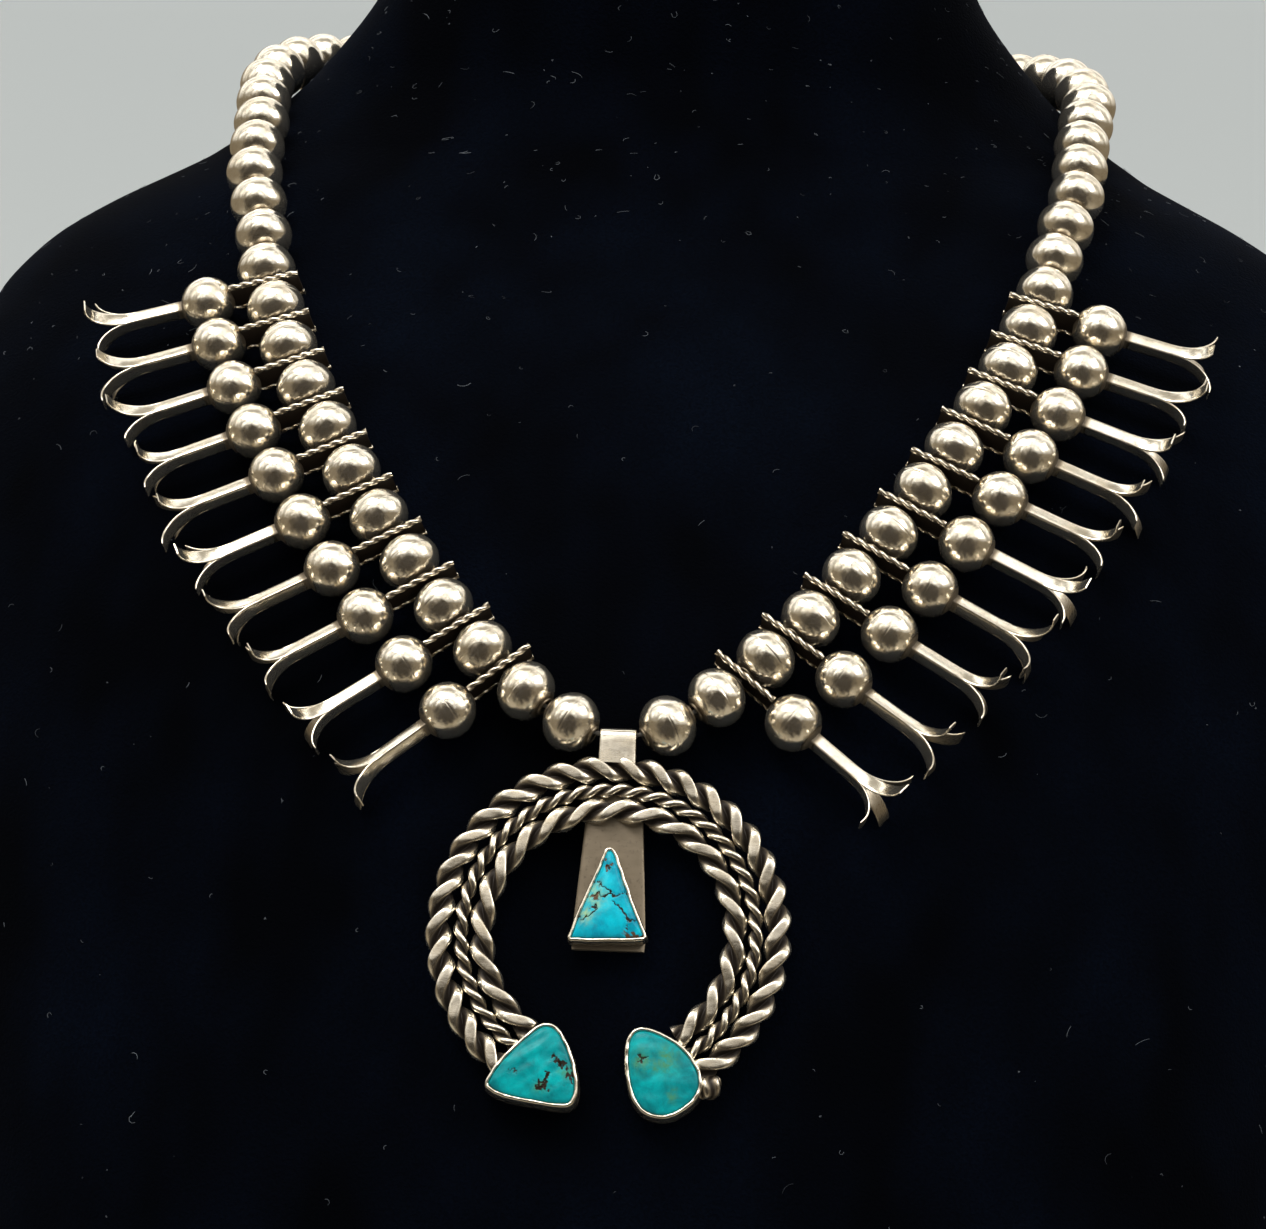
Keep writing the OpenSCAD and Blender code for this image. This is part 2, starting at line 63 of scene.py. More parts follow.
def make_camera():
    right = Vector((math.cos(CAMERA_TURN), math.sin(CAMERA_TURN), 0))
    back = Vector((math.sin(CAMERA_TURN), -math.cos(CAMERA_TURN), 0))
    up = Vector((0, 0, 1))
    x = right * math.cos(CAMERA_ROLL) + up * math.sin(CAMERA_ROLL)
    y = up * math.cos(CAMERA_ROLL) - right * math.sin(CAMERA_ROLL)
    turn = Matrix((x, y, back)).transposed().to_4x4()
    data = bpy.data.cameras.new("camera")
    data.sensor_width = SENSOR_WIDTH
    data.lens = SENSOR_WIDTH * CAMERA_DISTANCE / FRAME_WIDTH
    data.clip_start = 0.01
    camera = bpy.data.objects.new("camera", data)
    camera.matrix_world = Matrix.Translation(CAMERA_AIM + back * CAMERA_DISTANCE) @ turn
    bpy.context.scene.collection.objects.link(camera)
    bpy.context.scene.camera = camera


def enclosed(points, faces):
    """Six times the volume inside closed faces, negative if they point inward."""
    points = points - points.mean(0)
    total = 0
    for size in {len(f) for f in faces}:
        f = np.array([g for g in faces if len(g) == size])
        for k in range(1, size - 1):
            across = np.cross(points[f[:, k]], points[f[:, k + 1]])
            total += np.einsum("ij,ij->", points[f[:, 0]], across)
    return total


# Shapes: points, faces, and how dark each point is, from 0 to 1: tarnish, and on some parts painted
# shade.
class Shape:
    """Closed forms gathered into one mesh."""

    def __init__(self):
        self.points, self.faces, self.tarnish, self.count = [], [], [], 0

    def add(self, points, faces, tarnish, place=None):
        points = np.asarray(points, float).reshape(-1, 3)
        if place is not None:
            points = points @ np.array(place.to_3x3()).T + np.array(place.translation)
        self.points.append(points)
        step = 1 if enclosed(points, faces) > 0 else -1
        self.faces += [[i + self.count for i in f[::step]] for f in faces]
        self.tarnish.append(np.broadcast_to(np.asarray(tarnish, float).reshape(-1), (len(points),)))
        self.count += len(points)

    def piece(self, name, material, body, replaces=(), sharp=None, layers=None):
        """Makes the mesh; sharp is the angle in degrees beyond which an edge isn't smooth."""
        mesh = bpy.data.meshes.new(name)
        mesh.from_pydata(np.concatenate(self.points).tolist(), [], self.faces)
        layers = dict(layers or {}, tarnish=np.concatenate(self.tarnish))
        for key, values in layers.items():
            data = mesh.attributes.new(key, "FLOAT", "POINT").data
            data.foreach_set("value", np.asarray(values, np.float32))
        mesh.polygons.foreach_set("use_smooth", [True] * len(mesh.polygons))
        if sharp is not None:
            mesh.set_sharp_from_angle(angle=math.radians(sharp))
        mesh.materials.append(material)
        obj = bpy.data.objects.new(name, mesh)
        bpy.context.scene.collection.objects.link(obj)
        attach(obj, body)
        if replaces:
            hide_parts(*replaces)


def grid_faces(rings, size, ring_loop=False):
    """Faces of closed rings of size points; the rings close into a loop or get two end faces."""
    last = rings if ring_loop else rings - 1
    i, j = np.meshgrid(np.arange(last), np.arange(size), indexing="ij")
    a, b = i * size, (i + 1) % rings * size
    k = (j + 1) % size
    faces = np.stack([a + j, b + j, b + k, a + k], -1).reshape(-1, 4).tolist()
    if not ring_loop:
        faces.append(list(range(size)))
        faces.append([(rings - 1) * size + n for n in range(size - 1, -1, -1)])
    return faces


def around(steps):
    """Angles of evenly spaced steps round a full turn."""
    return np.arange(steps) * 2 * math.pi / steps


def lathe(profile, steps):
    """A profile of (radius, height) turned round Z, as one ring of points for each."""
    p = np.asarray(profile, float)
    radius, height = p[:, None, 0], p[:, None, 1]
    turn = around(steps)
    height = np.broadcast_to(height, (len(p), steps))
    return np.stack([radius * np.cos(turn), radius * np.sin(turn), height], -1)


def curved(a, b, c, d, steps):
    """Steps of a smooth curve from each b to its c, with a before them and d after them."""
    a, b, c, d = (x[:, None] for x in (a, b, c, d))
    t = np.arange(steps)[None, :, None] / steps
    q = b + 0.5 * t * (c - a + t * (2 * a - 5 * b + 4 * c - d + t * (3 * (b - c) + d - a)))
    return q.reshape(-1, q.shape[-1])


def smooth_loop(points, steps):
    """A closed curve through the points, with steps for each of them."""
    p = np.asarray(points, float)
    return curved(*(np.roll(p, -k, 0) for k in (-1, 0, 1, 2)), steps)


def smooth_line(points, steps):
    """An open curve through the points."""
    p = np.asarray(points, float)
    i, last = np.arange(len(p) - 1), len(p) - 1
    curve = curved(p[np.maximum(i - 1, 0)], p[i], p[i + 1], p[np.minimum(i + 2, last)], steps)
    return np.concatenate([curve, p[-1:]])


WAVES = 7


def ripples(points, seed, size, depth):
    """Smooth low dents, as one height for each point."""
    rng = np.random.default_rng(seed)
    k = rng.normal(size=(WAVES, 3)) * 2 * math.pi / size
    phase = rng.uniform(0, 2 * math.pi, WAVES)
    heights = np.cos(points.reshape(-1, 3) @ k.T + phase).sum(1) / math.sqrt(WAVES) * depth
    return heights.reshape(points.shape[:-1])


def smooth_step(x, low, high):
    """0 below low, 1 above high and smooth between them."""
    t = np.clip((x - low) / (high - low), 0, 1)
    return t * t * (3 - 2 * t)


def unit(v):
    return v / np.linalg.norm(v, axis=-1, keepdims=True)


# What the frame says of where the pieces are.
def node_points(name):
    mesh = frame["nodes"][name].data
    points = np.zeros(len(mesh.vertices) * 3)
    mesh.vertices.foreach_get("co", points)
    return points.reshape(-1, 3)


def node_triangles(name):
    mesh = frame["nodes"][name].data
    mesh.calc_loop_triangles()
    triangles = np.zeros(len(mesh.loop_triangles) * 3, int)
    mesh.loop_triangles.foreach_get("vertices", triangles)
    return node_points(name)[triangles.reshape(-1, 3)]


GRAIN = 0.01 * MM
WELD = 0.002 * MM


def outline(points):
    """A ring's points without repeats, in order round its middle as the first two axes see it."""
    keys = np.round(points / GRAIN).astype(int)
    points = points[np.unique(keys, axis=0, return_index=True)[1]]
    x, y = (points - (points.min(0) + points.max(0)) / 2).T[:2]
    return points[np.argsort(np.arctan2(y, x))]


def solid_frame(triangles):
    """Middle of a solid's surface and its three main directions, the longest first."""
    a, b, c = triangles[:, 0], triangles[:, 1], triangles[:, 2]
    area = np.linalg.norm(np.cross(b - a, c - a), axis=1)
    share = area / area.sum()
    middle = (share[:, None] * (a + b + c) / 3).sum(0)
    a, b, c = a - middle, b - middle, c - middle
    spread = sum(np.einsum("n,ni,nj->ij", share, v, v) for v in (a, b, c, a + b + c))
    _, axes = np.linalg.eigh(spread)
    return middle, axes.T[::-1]


def loose_parts(triangles):
    """The separate solids of a node, as lists of triangles."""
    keys = np.round(triangles.reshape(-1, 3) / WELD).astype(np.int64)
    corner = np.unique(keys, axis=0, return_inverse=True)[1].reshape(-1, 3)
    label = np.arange(corner.max() + 1)
    while True:
        low = label[corner].min(1)
        new = label.copy()
        for k in range(3):
            np.minimum.at(new, corner[:, k], low)
        new = new[new]
        if (new == label).all():
            break
        label = new
    owner = label[corner[:, 0]]
    return [triangles[owner == k] for k in np.unique(owner)]


def toward(v, way):
    """The vector or its opposite, whichever points the given way."""
    return v if np.dot(v, way) > 0 else -v


def placed(middle, x, y, z):
    """The transform with this origin and these axes."""
    m = Matrix((x, y, z)).transposed().to_4x4()
    m.translation = Vector(middle)
    return m


# Each side has single beads up the front, then the string of neck beads. The blossoms sit between
# the beads, the first of them above the lowest two.
STRAND_BEADS = 12
BLOSSOMS = 10
LOW_BEADS = 2
LEFT_SEED = 50


def side_seed(side):
    return LEFT_SEED if side == "left" else 0


def middle_of(name):
    low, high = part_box(name)
    return np.array((low + high) / 2)


def bead_axis(triangles, way):
    """A bead's middle and its hole's direction: the main direction nearest to the strand's."""
    middle, axes = solid_frame(triangles)
    scores = [abs(np.dot(a, way)) for a in axes]
    return middle, toward(axes[int(np.argmax(scores))], way)


def side_beads(side):
    """Places of one side's beads, from the pendant up to the nape: middle, hole direction."""
    names = [f"bead_{side}_{k}" for k in range(1, STRAND_BEADS + 1)]
    solids = [node_triangles(n) for n in names]
    neck = loose_parts(node_triangles(f"neck_beads_{side}"))
    last = middle_of(names[-1])
    while neck:
        neck.sort(key=lambda s: np.linalg.norm(s.reshape(-1, 3).mean(0) - last))
        last = neck[0].reshape(-1, 3).mean(0)
        solids.append(neck.pop(0))
    middles = [s.reshape(-1, 3).mean(0) for s in solids]
    places = []
    for i, solid in enumerate(solids):
        way = middles[min(i + 1, len(solids) - 1)] - middles[max(i - 1, 0)]
        places.append(bead_axis(solid, way))
    return places


def blossom_frame(side, k, beads):
    """X runs out along the stem, Y to the bust, Z up the strand on the right, down on the left."""
    below, above = beads[LOW_BEADS + k - 2][0], beads[LOW_BEADS + k - 1][0]
    thread = (below + above) / 2
    middle, axes = solid_frame(node_triangles(f"blossom_{side}_{k}"))
    x = toward(axes[0], middle - thread)
    strand = unit(above - below)
    z = unit(strand - x * np.dot(strand, x))
    y = toward(np.cross(z, x), np.array([0, 1, 0.5]))
    z = np.cross(x, y)
    origin = middle + x * np.dot(thread - middle, x)
    return placed(origin, x, y, z)


# The pendant's lean is read from its flat back faces: steps per degree, and how near the most
# common lean a face has to be, in degrees.
LEAN_STEPS = 10
LEAN_NEAR = 0.2


def naja_frame():
    """The pendant's frame: origin on the thread, X right, Y back, Z up in the pendant's plane."""
    joint = next(j for j in frame["joints"] if j["name"] == "naja_swing")
    t = node_triangles("naja")
    cross = np.cross(t[:, 1] - t[:, 0], t[:, 2] - t[:, 0])
    area = np.linalg.norm(cross, axis=1) / 2
    keep = area > 0
    normal = cross[keep] / (2 * area[keep, None])
    back = normal[:, 1] > 0.5
    weight = area[keep][back]
    lean = np.degrees(np.arctan2(-normal[back, 2], normal[back, 1]))
    level = 90 * LEAN_STEPS
    total = np.bincount(np.round(lean * LEAN_STEPS).astype(int) + level, weights=weight)
    best = (np.argmax(total) - level) / LEAN_STEPS
    near = np.abs(lean - best) < LEAN_NEAR
    lean = math.radians(np.average(lean[near], weights=weight[near]))
    turn = Matrix.Rotation(-lean, 4, "X")
    return Matrix.Translation(Vector(joint["pos_m"])) @ turn


# Materials.
class Look:
    """The nodes of a material, or of the world, and short ways to add to them."""

    def __init__(self, owner, shader="Principled BSDF", place="Object"):
        owner.use_nodes = True
        self.owner = owner
        self.tree = owner.node_tree
        self.shader = self.tree.nodes[shader]
        self.place = self.add("TexCoord").outputs[place]

    def add(self, kind, settings=None, **inputs):
        node = self.tree.nodes.new("ShaderNode" + kind)
        for key, value in (settings or {}).items():
            setattr(node, key, value)
        for key, value in inputs.items():
            self.put(node.inputs[key.replace("_", " ")], value)
        return node

    def put(self, socket, value):
        """A constant goes straight onto the socket and a node's output is linked to it."""
        if isinstance(value, bpy.types.NodeSocket):
            self.tree.links.new(value, socket)
        else:
            socket.default_value = value

    def set(self, **inputs):
        for key, value in inputs.items():
            self.put(self.shader.inputs[key.replace("_", " ")], value)

    def noise(self, scale, detail=3, roughness=0.5, vector=None, distortion=0):
        return self.add(
            "TexNoise", Vector=vector or self.place, Scale=scale, Detail=detail,
            Roughness=roughness, Distortion=distortion,
        ).outputs[0]

    def stretched(self, scale, turn=(0, 0, 0)):
        return self.add("Mapping", Vector=self.place, Scale=scale, Rotation=turn).outputs["Vector"]

    def ranged(self, value, low, high, to_low=0.0, to_high=1.0):
        return self.add(
            "MapRange", {"clamp": True}, Value=value,
            From_Min=low, From_Max=high, To_Min=to_low, To_Max=to_high,
        ).outputs["Result"]

    def math(self, kind, a, b=0.0, clamp=False):
        node = self.add("Math", {"operation": kind, "use_clamp": clamp})
        self.put(node.inputs[0], a)
        self.put(node.inputs[1], b)
        return node.outputs[0]

    def mix(self, factor, a, b):
        """Of a Mix node's sockets, inputs 6 and 7 and output 2 are its colours."""
        node = self.add("Mix", {"data_type": "RGBA"})
        self.put(node.inputs[0], factor)
        self.put(node.inputs[6], a)
        self.put(node.inputs[7], b)
        return node.outputs[2]

    def layer(self, name):
        return self.add("Attribute", {"attribute_name": name}).outputs["Fac"]

    def bump(self, height, distance, strength, under=None):
        node = self.add("Bump", Height=height, Distance=distance, Strength=strength)
        if under is not None:
            self.put(node.inputs["Normal"], under)
        return node.outputs["Normal"]


def material_look(name):
    return Look(bpy.data.materials.new(name))


BRIGHT_SILVER = (0.93, 0.87, 0.75, 1)
WARM_SILVER = (0.78, 0.69, 0.54, 1)
# Brown and black stand for tarnish, and on some parts for painted shade.
BROWN_TARNISH_AND_SHADE = (0.30, 0.245, 0.175, 1)
BLACK_TARNISH_AND_SHADE = (0.014, 0.008, 0.004, 1)


def silver():
    """Bright where it is rubbed, brown to black where its darkness layer says so: real tarnish, and
    on some parts painted shade.
    """
    look = material_look("silver")
    tarnish = look.layer("tarnish")
    patina = look.ranged(look.noise(240, 3, 0.6), 0.42, 0.72)
    pits = look.ranged(look.noise(1700, 1, 0.7), 0.60, 0.74)
    dark = look.math("ADD", look.math("MULTIPLY", pits, 0.12), tarnish, clamp=True)
    clean = look.mix(patina, BRIGHT_SILVER, WARM_SILVER)
    dulled = look.mix(look.ranged(dark, 0.0, 0.5), clean, BROWN_TARNISH_AND_SHADE)
    color = look.mix(look.ranged(dark, 0.45, 1.0), dulled, BLACK_TARNISH_AND_SHADE)
    scratches = look.noise(1, 3, 0.7, look.stretched((500, 9000, 900), (0.4, 0.9, 0.3)))
    dull = look.ranged(dark, 0, 1, 0, 0.42)
    rough = look.math("ADD", look.ranged(patina, 0, 1, 0.10, 0.20), dull)
    rough = look.math("ADD", rough, look.ranged(scratches, 0.35, 0.65, -0.05, 0.07), clamp=True)
    wobble = look.bump(look.noise(420, 1, 0.4), 0.25 * MM, 0.28)
    lines = look.bump(scratches, 0.03 * MM, 0.35, wobble)
    look.set(
        Base_Color=color, Roughness=rough, Normal=lines,
        Metallic=look.ranged(dark, 0.5, 1.0, 0.96, 0.3),
    )
    return look.owner


VELVET_DEEP = (0.0004, 0.0006, 0.0013, 1)
VELVET_PILE = (0.0012, 0.0024, 0.0060, 1)
VELVET_SHEEN = (0.55, 0.68, 1.0, 1)


def velvet():
    look = material_look("velvet")
    nap = look.noise(35, 2, 0.6, look.stretched((1, 1, 0.5)))
    pile = look.noise(1800, 1, 0.7)
    pile_shade = look.ranged(pile, 0.3, 0.7, 0.4, 1.0)
    shade = look.math("MULTIPLY", look.ranged(nap, 0.35, 0.7), pile_shade)
    look.set(
        Base_Color=look.mix(shade, VELVET_DEEP, VELVET_PILE), Roughness=1.0,
        Sheen_Weight=0.012, Sheen_Roughness=0.35, Sheen_Tint=VELVET_SHEEN,
        Specular_IOR_Level=0.02, Normal=look.bump(pile, 0.4 * MM, 0.6),
    )
    return look.owner


def lint():
    look = material_look("lint")
    tone = look.ranged(look.noise(90, 2, 0.6), 0.35, 0.65)
    color = look.mix(tone, (0.03, 0.035, 0.045, 1), (0.20, 0.22, 0.25, 1))
    look.set(Base_Color=color, Roughness=0.9)
    return look.owner


FINE_TURQUOISE = (0.0, 0.11, 0.13, 1)
# Dark of the cracks, also the colour of the painted shade round each stone's rim.
CRACK_AND_RIM_SHADE_COLOR = (0.030, 0.018, 0.010, 1)


def turquoise(name, deep, bright, matrix_color, veil_color):
    """Clouded stone; its layers say where the cracks, matrix and green marks are, and where painted
    shade darkens the rim.
    """
    look = material_look(name)
    cloud = look.ranged(look.noise(260, 5, 0.62, distortion=0.5), 0.36, 0.66)
    fine = look.ranged(look.noise(1400, 4, 0.7), 0.35, 0.7)
    color = look.mix(cloud, deep, bright)
    color = look.mix(look.math("MULTIPLY", fine, 0.16), color, FINE_TURQUOISE)
    patchy = look.ranged(look.noise(900, 4, 0.7), 0.3, 0.6)
    green = look.math("MULTIPLY", look.layer("green"), patchy)
    color = look.mix(green, color, veil_color)
    ragged = look.ranged(look.noise(1900, 4, 0.75), 0.3, 0.7, -0.28, 0.28)
    rag = look.math("ADD", look.layer("matrix"), ragged)
    color = look.mix(look.ranged(rag, 0.42, 0.6), color, matrix_color)
    crack_and_rim_shade = look.ranged(look.layer("crack_and_rim_shade"), 0.35, 0.75)
    color = look.mix(crack_and_rim_shade, color, CRACK_AND_RIM_SHADE_COLOR)
    dulled = look.math("MULTIPLY", rag, 0.15)
    rough = look.math("ADD", look.ranged(fine, 0, 1, 0.24, 0.36), dulled, clamp=True)
    bumps = look.bump(look.noise(700, 4, 0.6), 0.12 * MM, 0.3)
    look.set(Base_Color=color, Roughness=rough, Normal=bumps, Specular_IOR_Level=0.14)
    return look.owner


def cord_fibre():
    look = material_look("thread")
    ply = look.noise(2500, 3, 0.6)
    look.set(
        Base_Color=look.mix(ply, (0.05, 0.042, 0.035, 1), (0.16, 0.14, 0.115, 1)),
        Roughness=0.7, Normal=look.bump(ply, 0.05 * MM, 0.5),
    )
    return look.owner


SILVER = silver()
VELVET = velvet()
LINT = lint()
BLUE = turquoise(
    "turquoise_blue", (0.0, 0.25, 0.37, 1), (0.002, 0.52, 0.66, 1),
    (0.10, 0.055, 0.03, 1), (0.34, 0.50, 0.24, 1),
)
GREEN = turquoise(
    "turquoise_green", (0.0, 0.165, 0.185, 1), (0.0, 0.38, 0.40, 1),
    (0.018, 0.012, 0.007, 1), (0.06, 0.21, 0.085, 1),
)
CORD = cord_fibre()


# Bust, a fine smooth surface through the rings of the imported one.
BUST_AROUND = 3
BUST_UP = 4


def bust_rings():
    """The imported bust's rings of points from the foot up, without its odd ones."""
    p = node_points("bust")
    level = np.round(p[:, 2] / GRAIN).astype(int)
    rings = [outline(p[level == k]) for k in np.unique(level)]
    full = max(len(r) for r in rings)
    return [r for r in rings if len(r) == full]


def bust_surface():
    rings = np.stack([smooth_loop(r, BUST_AROUND) for r in bust_rings()])
    columns = [smooth_line(rings[:, j], BUST_UP) for j in range(rings.shape[1])]
    return np.stack(columns, 1)


def make_bust():
    points = bust_surface()
    shape = Shape()
    shape.add(points, grid_faces(*points.shape[:2]), 0)
    shape.piece("bust_velvet", VELVET, "display", ["bust"], sharp=50)
    return points


LINT_COUNT = 1500
LINT_RADIUS = 0.03 * MM
LINT_REACH = (0.3 * MM, 1.5 * MM)
LINT_SIDES = 3
LINT_LIFT = 0.12 * MM


def make_lint(surface):
    """Pale fibres that lie on the velvet."""
    rng = np.random.default_rng(11)
    rings, columns = surface.shape[:2]
    turn = around(LINT_SIDES)[None, :, None]
    shape = Shape()
    for _ in range(LINT_COUNT):
        i, j = rng.integers(4, rings - 5), rng.integers(columns)
        p, up = surface[i, j], surface[i + 1, j] - surface[i, j]
        over = surface[i, (j + 1) % columns] - p
        p = p + up * rng.random() + over * rng.random()
        up, over = unit(up), unit(over)
        out = unit(np.cross(over, up))
        angle, bend = rng.uniform(0, math.pi), rng.normal(0, 0.8)
        reach = rng.uniform(*LINT_REACH) * rng.random() ** 0.7
        path = []
        for t in np.linspace(-1, 1, 5):
            a = angle + bend * t
            path.append(p + reach * t * (math.cos(a) * over + math.sin(a) * up) + out * LINT_LIFT)
        path = np.array(path)
        side = np.cross(unit(np.gradient(path, axis=0)), out)
        points = path[:, None] + LINT_RADIUS * (np.cos(turn) * side[:, None] + np.sin(turn) * out)
        shape.add(points, grid_faces(len(path), LINT_SIDES), 0)
    shape.piece("bust_lint", LINT, "display")


# Strand beads: two domed halves with a seam, a collar at each end and a bore.
BEAD_R = 5.1 * MM
BEAD_HALF = 4.525 * MM
BEAD_ARC = 4.7 * MM
COLLAR_R = 1.6 * MM
BORE_R = 1.0 * MM
DOME_END = 4.12 * MM
SEAM_W = 0.16 * MM
SEAM_DEPTH = 0.02 * MM
BEAD_STEPS = 56
HALF_SLIP = 0.035 * MM
OVAL = 0.012
BEAD_SEED, NECK_SEED = 100, 300


def dome_side(radius, arc, end, squeeze=1.06):
    """Half of a bead's outside, from the seam to where the collar starts."""
    heights = end * np.sin(np.linspace(0, math.pi / 2, 15))
    heights = np.concatenate([[0, SEAM_W / 2, SEAM_W], heights[heights > 1.8 * SEAM_W]])
    r = radius - arc + np.sqrt(arc**2 - (heights * squeeze) ** 2)
    r[0] -= SEAM_DEPTH
    r[1] -= 0.35 * SEAM_DEPTH
    return np.stack([r, heights], -1)


def mirrored(upper):
    """A closed profile from its upper half, the lower half being the same upside down."""
    return np.concatenate([upper[:0:-1] * [1, -1], upper])


def bead_profile():
    dome = dome_side(BEAD_R, BEAD_ARC, DOME_END)
    top = BEAD_HALF
    collar = np.array([
        [COLLAR_R * 1.06, top - 0.30 * MM], [COLLAR_R * 1.04, top - 0.10 * MM],
        [COLLAR_R * 0.95, top - 0.02 * MM], [COLLAR_R * 0.82, top],
        [BORE_R * 1.08, top - 0.05 * MM], [BORE_R, top - 0.20 * MM], [BORE_R, top - 2 * MM],
    ])
    return mirrored(np.concatenate([dome, collar]))


def dents(points, seed, fine):
    """A hand-made bead's dents, large and small; fine is the small ones' size and depth."""
    return ripples(points, seed, 7 * MM, 0.022 * MM) + ripples(points, seed + 1, *fine)


def bead_shape(shape, place, seed):
    """Two halves that don't quite meet, a little oval and dented."""
    rng = np.random.default_rng(seed)
    profile = bead_profile()
    points = lathe(profile, BEAD_STEPS)
    r, z = profile[:, 0], profile[:, 1]
    seam = np.exp(-((z / (0.35 * MM)) ** 2))
    ends = smooth_step(np.abs(z), 3.5 * MM, 4.3 * MM)
    hole = (r < 1.05 * BORE_R) * 1.0
    dark = np.maximum(np.maximum(0.07 * seam, 0.55 * ends), hole)
    dark = np.repeat(dark, BEAD_STEPS)
    points[z > 0, :, :2] += rng.normal(0, HALF_SLIP, 2)
    spin = rng.uniform(0, 2 * math.pi)
    oval = 1 + OVAL * rng.normal() * np.cos(2 * (around(BEAD_STEPS) - spin))
    points[..., :2] *= oval[None, :, None]
    outward = unit(points * [1, 1, 0.9])
    outside = (r > 1.05 * COLLAR_R)[:, None, None]
    points = points + outside * outward * dents(points, seed, (3.2 * MM, 0.008 * MM))[..., None]
    shape.add(points, grid_faces(len(profile), BEAD_STEPS, ring_loop=True), dark, place)


def bead_place(middle, axis):
    x = unit(np.cross(np.array([0.0, -1.0, 0.2]), axis))
    return placed(middle, x, np.cross(axis, x), axis)


def bead_piece(name, beads, seed):
    shape = Shape()
    for k, bead in enumerate(beads):
        bead_shape(shape, bead_place(*bead), seed + k)
    shape.piece(name + "_silver", SILVER, "display", [name], sharp=60)


def make_beads(side, beads):
    for k in range(STRAND_BEADS):
        bead_piece(f"bead_{side}_{k + 1}", beads[k:k + 1], BEAD_SEED + side_seed(side) + k)
    bead_piece(f"neck_beads_{side}", beads[STRAND_BEADS:], NECK_SEED + side_seed(side))


# Thread, twisted of two plies, through the beads, the bail and the clasp.
THREAD_R = 0.45 * MM
THREAD_TURN = 1.6 * MM
THREAD_SIDES = 8
THREAD_STEPS = 40


def twisted(path, normal, radius, pitch, sides, groove=0.45, start=0.0, loop=False):
    """Two wires twisted together along a path, as rings of points and their groove depths."""
    run = np.roll(path, -1, 0) - np.roll(path, 1, 0) if loop else np.gradient(path, axis=0)
    run = unit(run)
    n = unit(normal - (normal * run).sum(-1, keepdims=True) * run)
    b = np.cross(run, n)
    step = np.linalg.norm(np.diff(path, axis=0), axis=1)
    length = np.concatenate([[0], np.cumsum(step)])
    twist = start + length / pitch * 2 * math.pi
    turn = around(sides)
    dip = np.abs(np.sin(turn - twist[:, None])) ** 3
    reach = radius * (1 - groove * dip)
    turn = turn[None, :, None]
    out = np.cos(turn) * n[:, None] + np.sin(turn) * b[:, None]
    return path[:, None] + reach[..., None] * out, dip


def make_thread(sides):
    right, left = sides["right"], sides["left"]
    hang = np.array(NAJA.translation)
    clasp = middle_of("clasp")
    stops = [hang] + [b[0] for b in right] + [clasp] + [b[0] for b in left[::-1]]
    path = smooth_loop(stops, THREAD_STEPS)
    normal = unit(path - [0, path[:, 1].mean() + 20 * MM, 0])
    rings, dip = twisted(path, normal, THREAD_R, THREAD_TURN, THREAD_SIDES, loop=True)
    shape = Shape()
    shape.add(rings, grid_faces(len(rings), THREAD_SIDES, ring_loop=True), dip.reshape(-1))
    shape.piece("thread_plies", CORD, "display", ["thread"])


# Strips of sheet silver: petals, stems and the bail.
def strip(path, across, width, thick, sides=16, bow=0.0):
    """A rounded flat bar swept along a path; across is its width's direction.

    Gives the points, and each side's share of the half width and of the half thickness.
    """
    run = unit(np.gradient(path, axis=0))
    across = np.broadcast_to(np.array(across, float), path.shape)
    across = unit(across - (run * across).sum(-1, keepdims=True) * run)
    out = np.cross(across, run)
    turn = around(sides) + math.pi / sides
    u = np.sign(np.cos(turn)) * np.abs(np.cos(turn)) ** 0.30
    v = np.sign(np.sin(turn)) * np.abs(np.sin(turn)) ** 0.45
    width = np.broadcast_to(width, len(path))[:, None]
    thick = np.broadcast_to(thick, len(path))[:, None]
    lift = v * thick / 2 - bow * width * u**2
    points = path[:, None] + (u * width / 2)[..., None] * across[:, None]
    return points + lift[..., None] * out[:, None], u, v


# Blossoms, in their own frame: X out along the stem, Y back to the bust, Z along the strand.
PLATE_IN = 5.4 * MM
PLATE_T = 0.6 * MM
PLATE_W = 4.6 * MM
WIRE_R = 0.6 * MM
WIRE_TURN = 4.2 * MM
REACH = 11.5 * MM
BLOSSOM_R = 4.75 * MM
STEM_W = 2.4 * MM
STEM_L = 8.6 * MM
PETAL_T = 0.5 * MM
PETAL_ARC = 7.5 * MM
PETAL_TURN = math.radians(62)
PETAL_STEPS = 16
STEM_STEPS = 12
LOW_ROLL, HIGH_ROLL = math.radians(24), math.radians(52)
ROLL_NOISE = 12
STEM_SLIT = 0.16 * MM
DOME_STEPS = 48
PLATE_STEPS = 14
WIRE_SIDES = 12
BLOSSOM_SEED = 500


def blossom_bead(shape, place, seed):
    dome = dome_side(BLOSSOM_R, BLOSSOM_R, BLOSSOM_R * 0.996, squeeze=1.0)
    profile = mirrored(np.concatenate([dome, [[0.02 * MM, BLOSSOM_R]]]))
    points = lathe(profile, DOME_STEPS)
    z = profile[:, 1]
    seam = np.exp(-((z / (0.4 * MM)) ** 2))
    joint = smooth_step(z, 3.6 * MM, 4.3 * MM)
    plate = smooth_step(-z, 3.9 * MM, 4.6 * MM)
    dark = np.repeat(np.maximum(np.maximum(0.07 * seam, 0.8 * joint), 0.6 * plate), DOME_STEPS)
    outward = unit(points + 1e-9)
    points = points + outward * dents(points, seed, (3 * MM, 0.007 * MM))[..., None]
    onto_x = Matrix(((0, 0, 1), (1, 0, 0), (0, 1, 0))).to_4x4()
    place = place @ Matrix.Translation((REACH, 0, 0)) @ onto_x
    shape.add(points, grid_faces(len(profile), DOME_STEPS), dark, place)


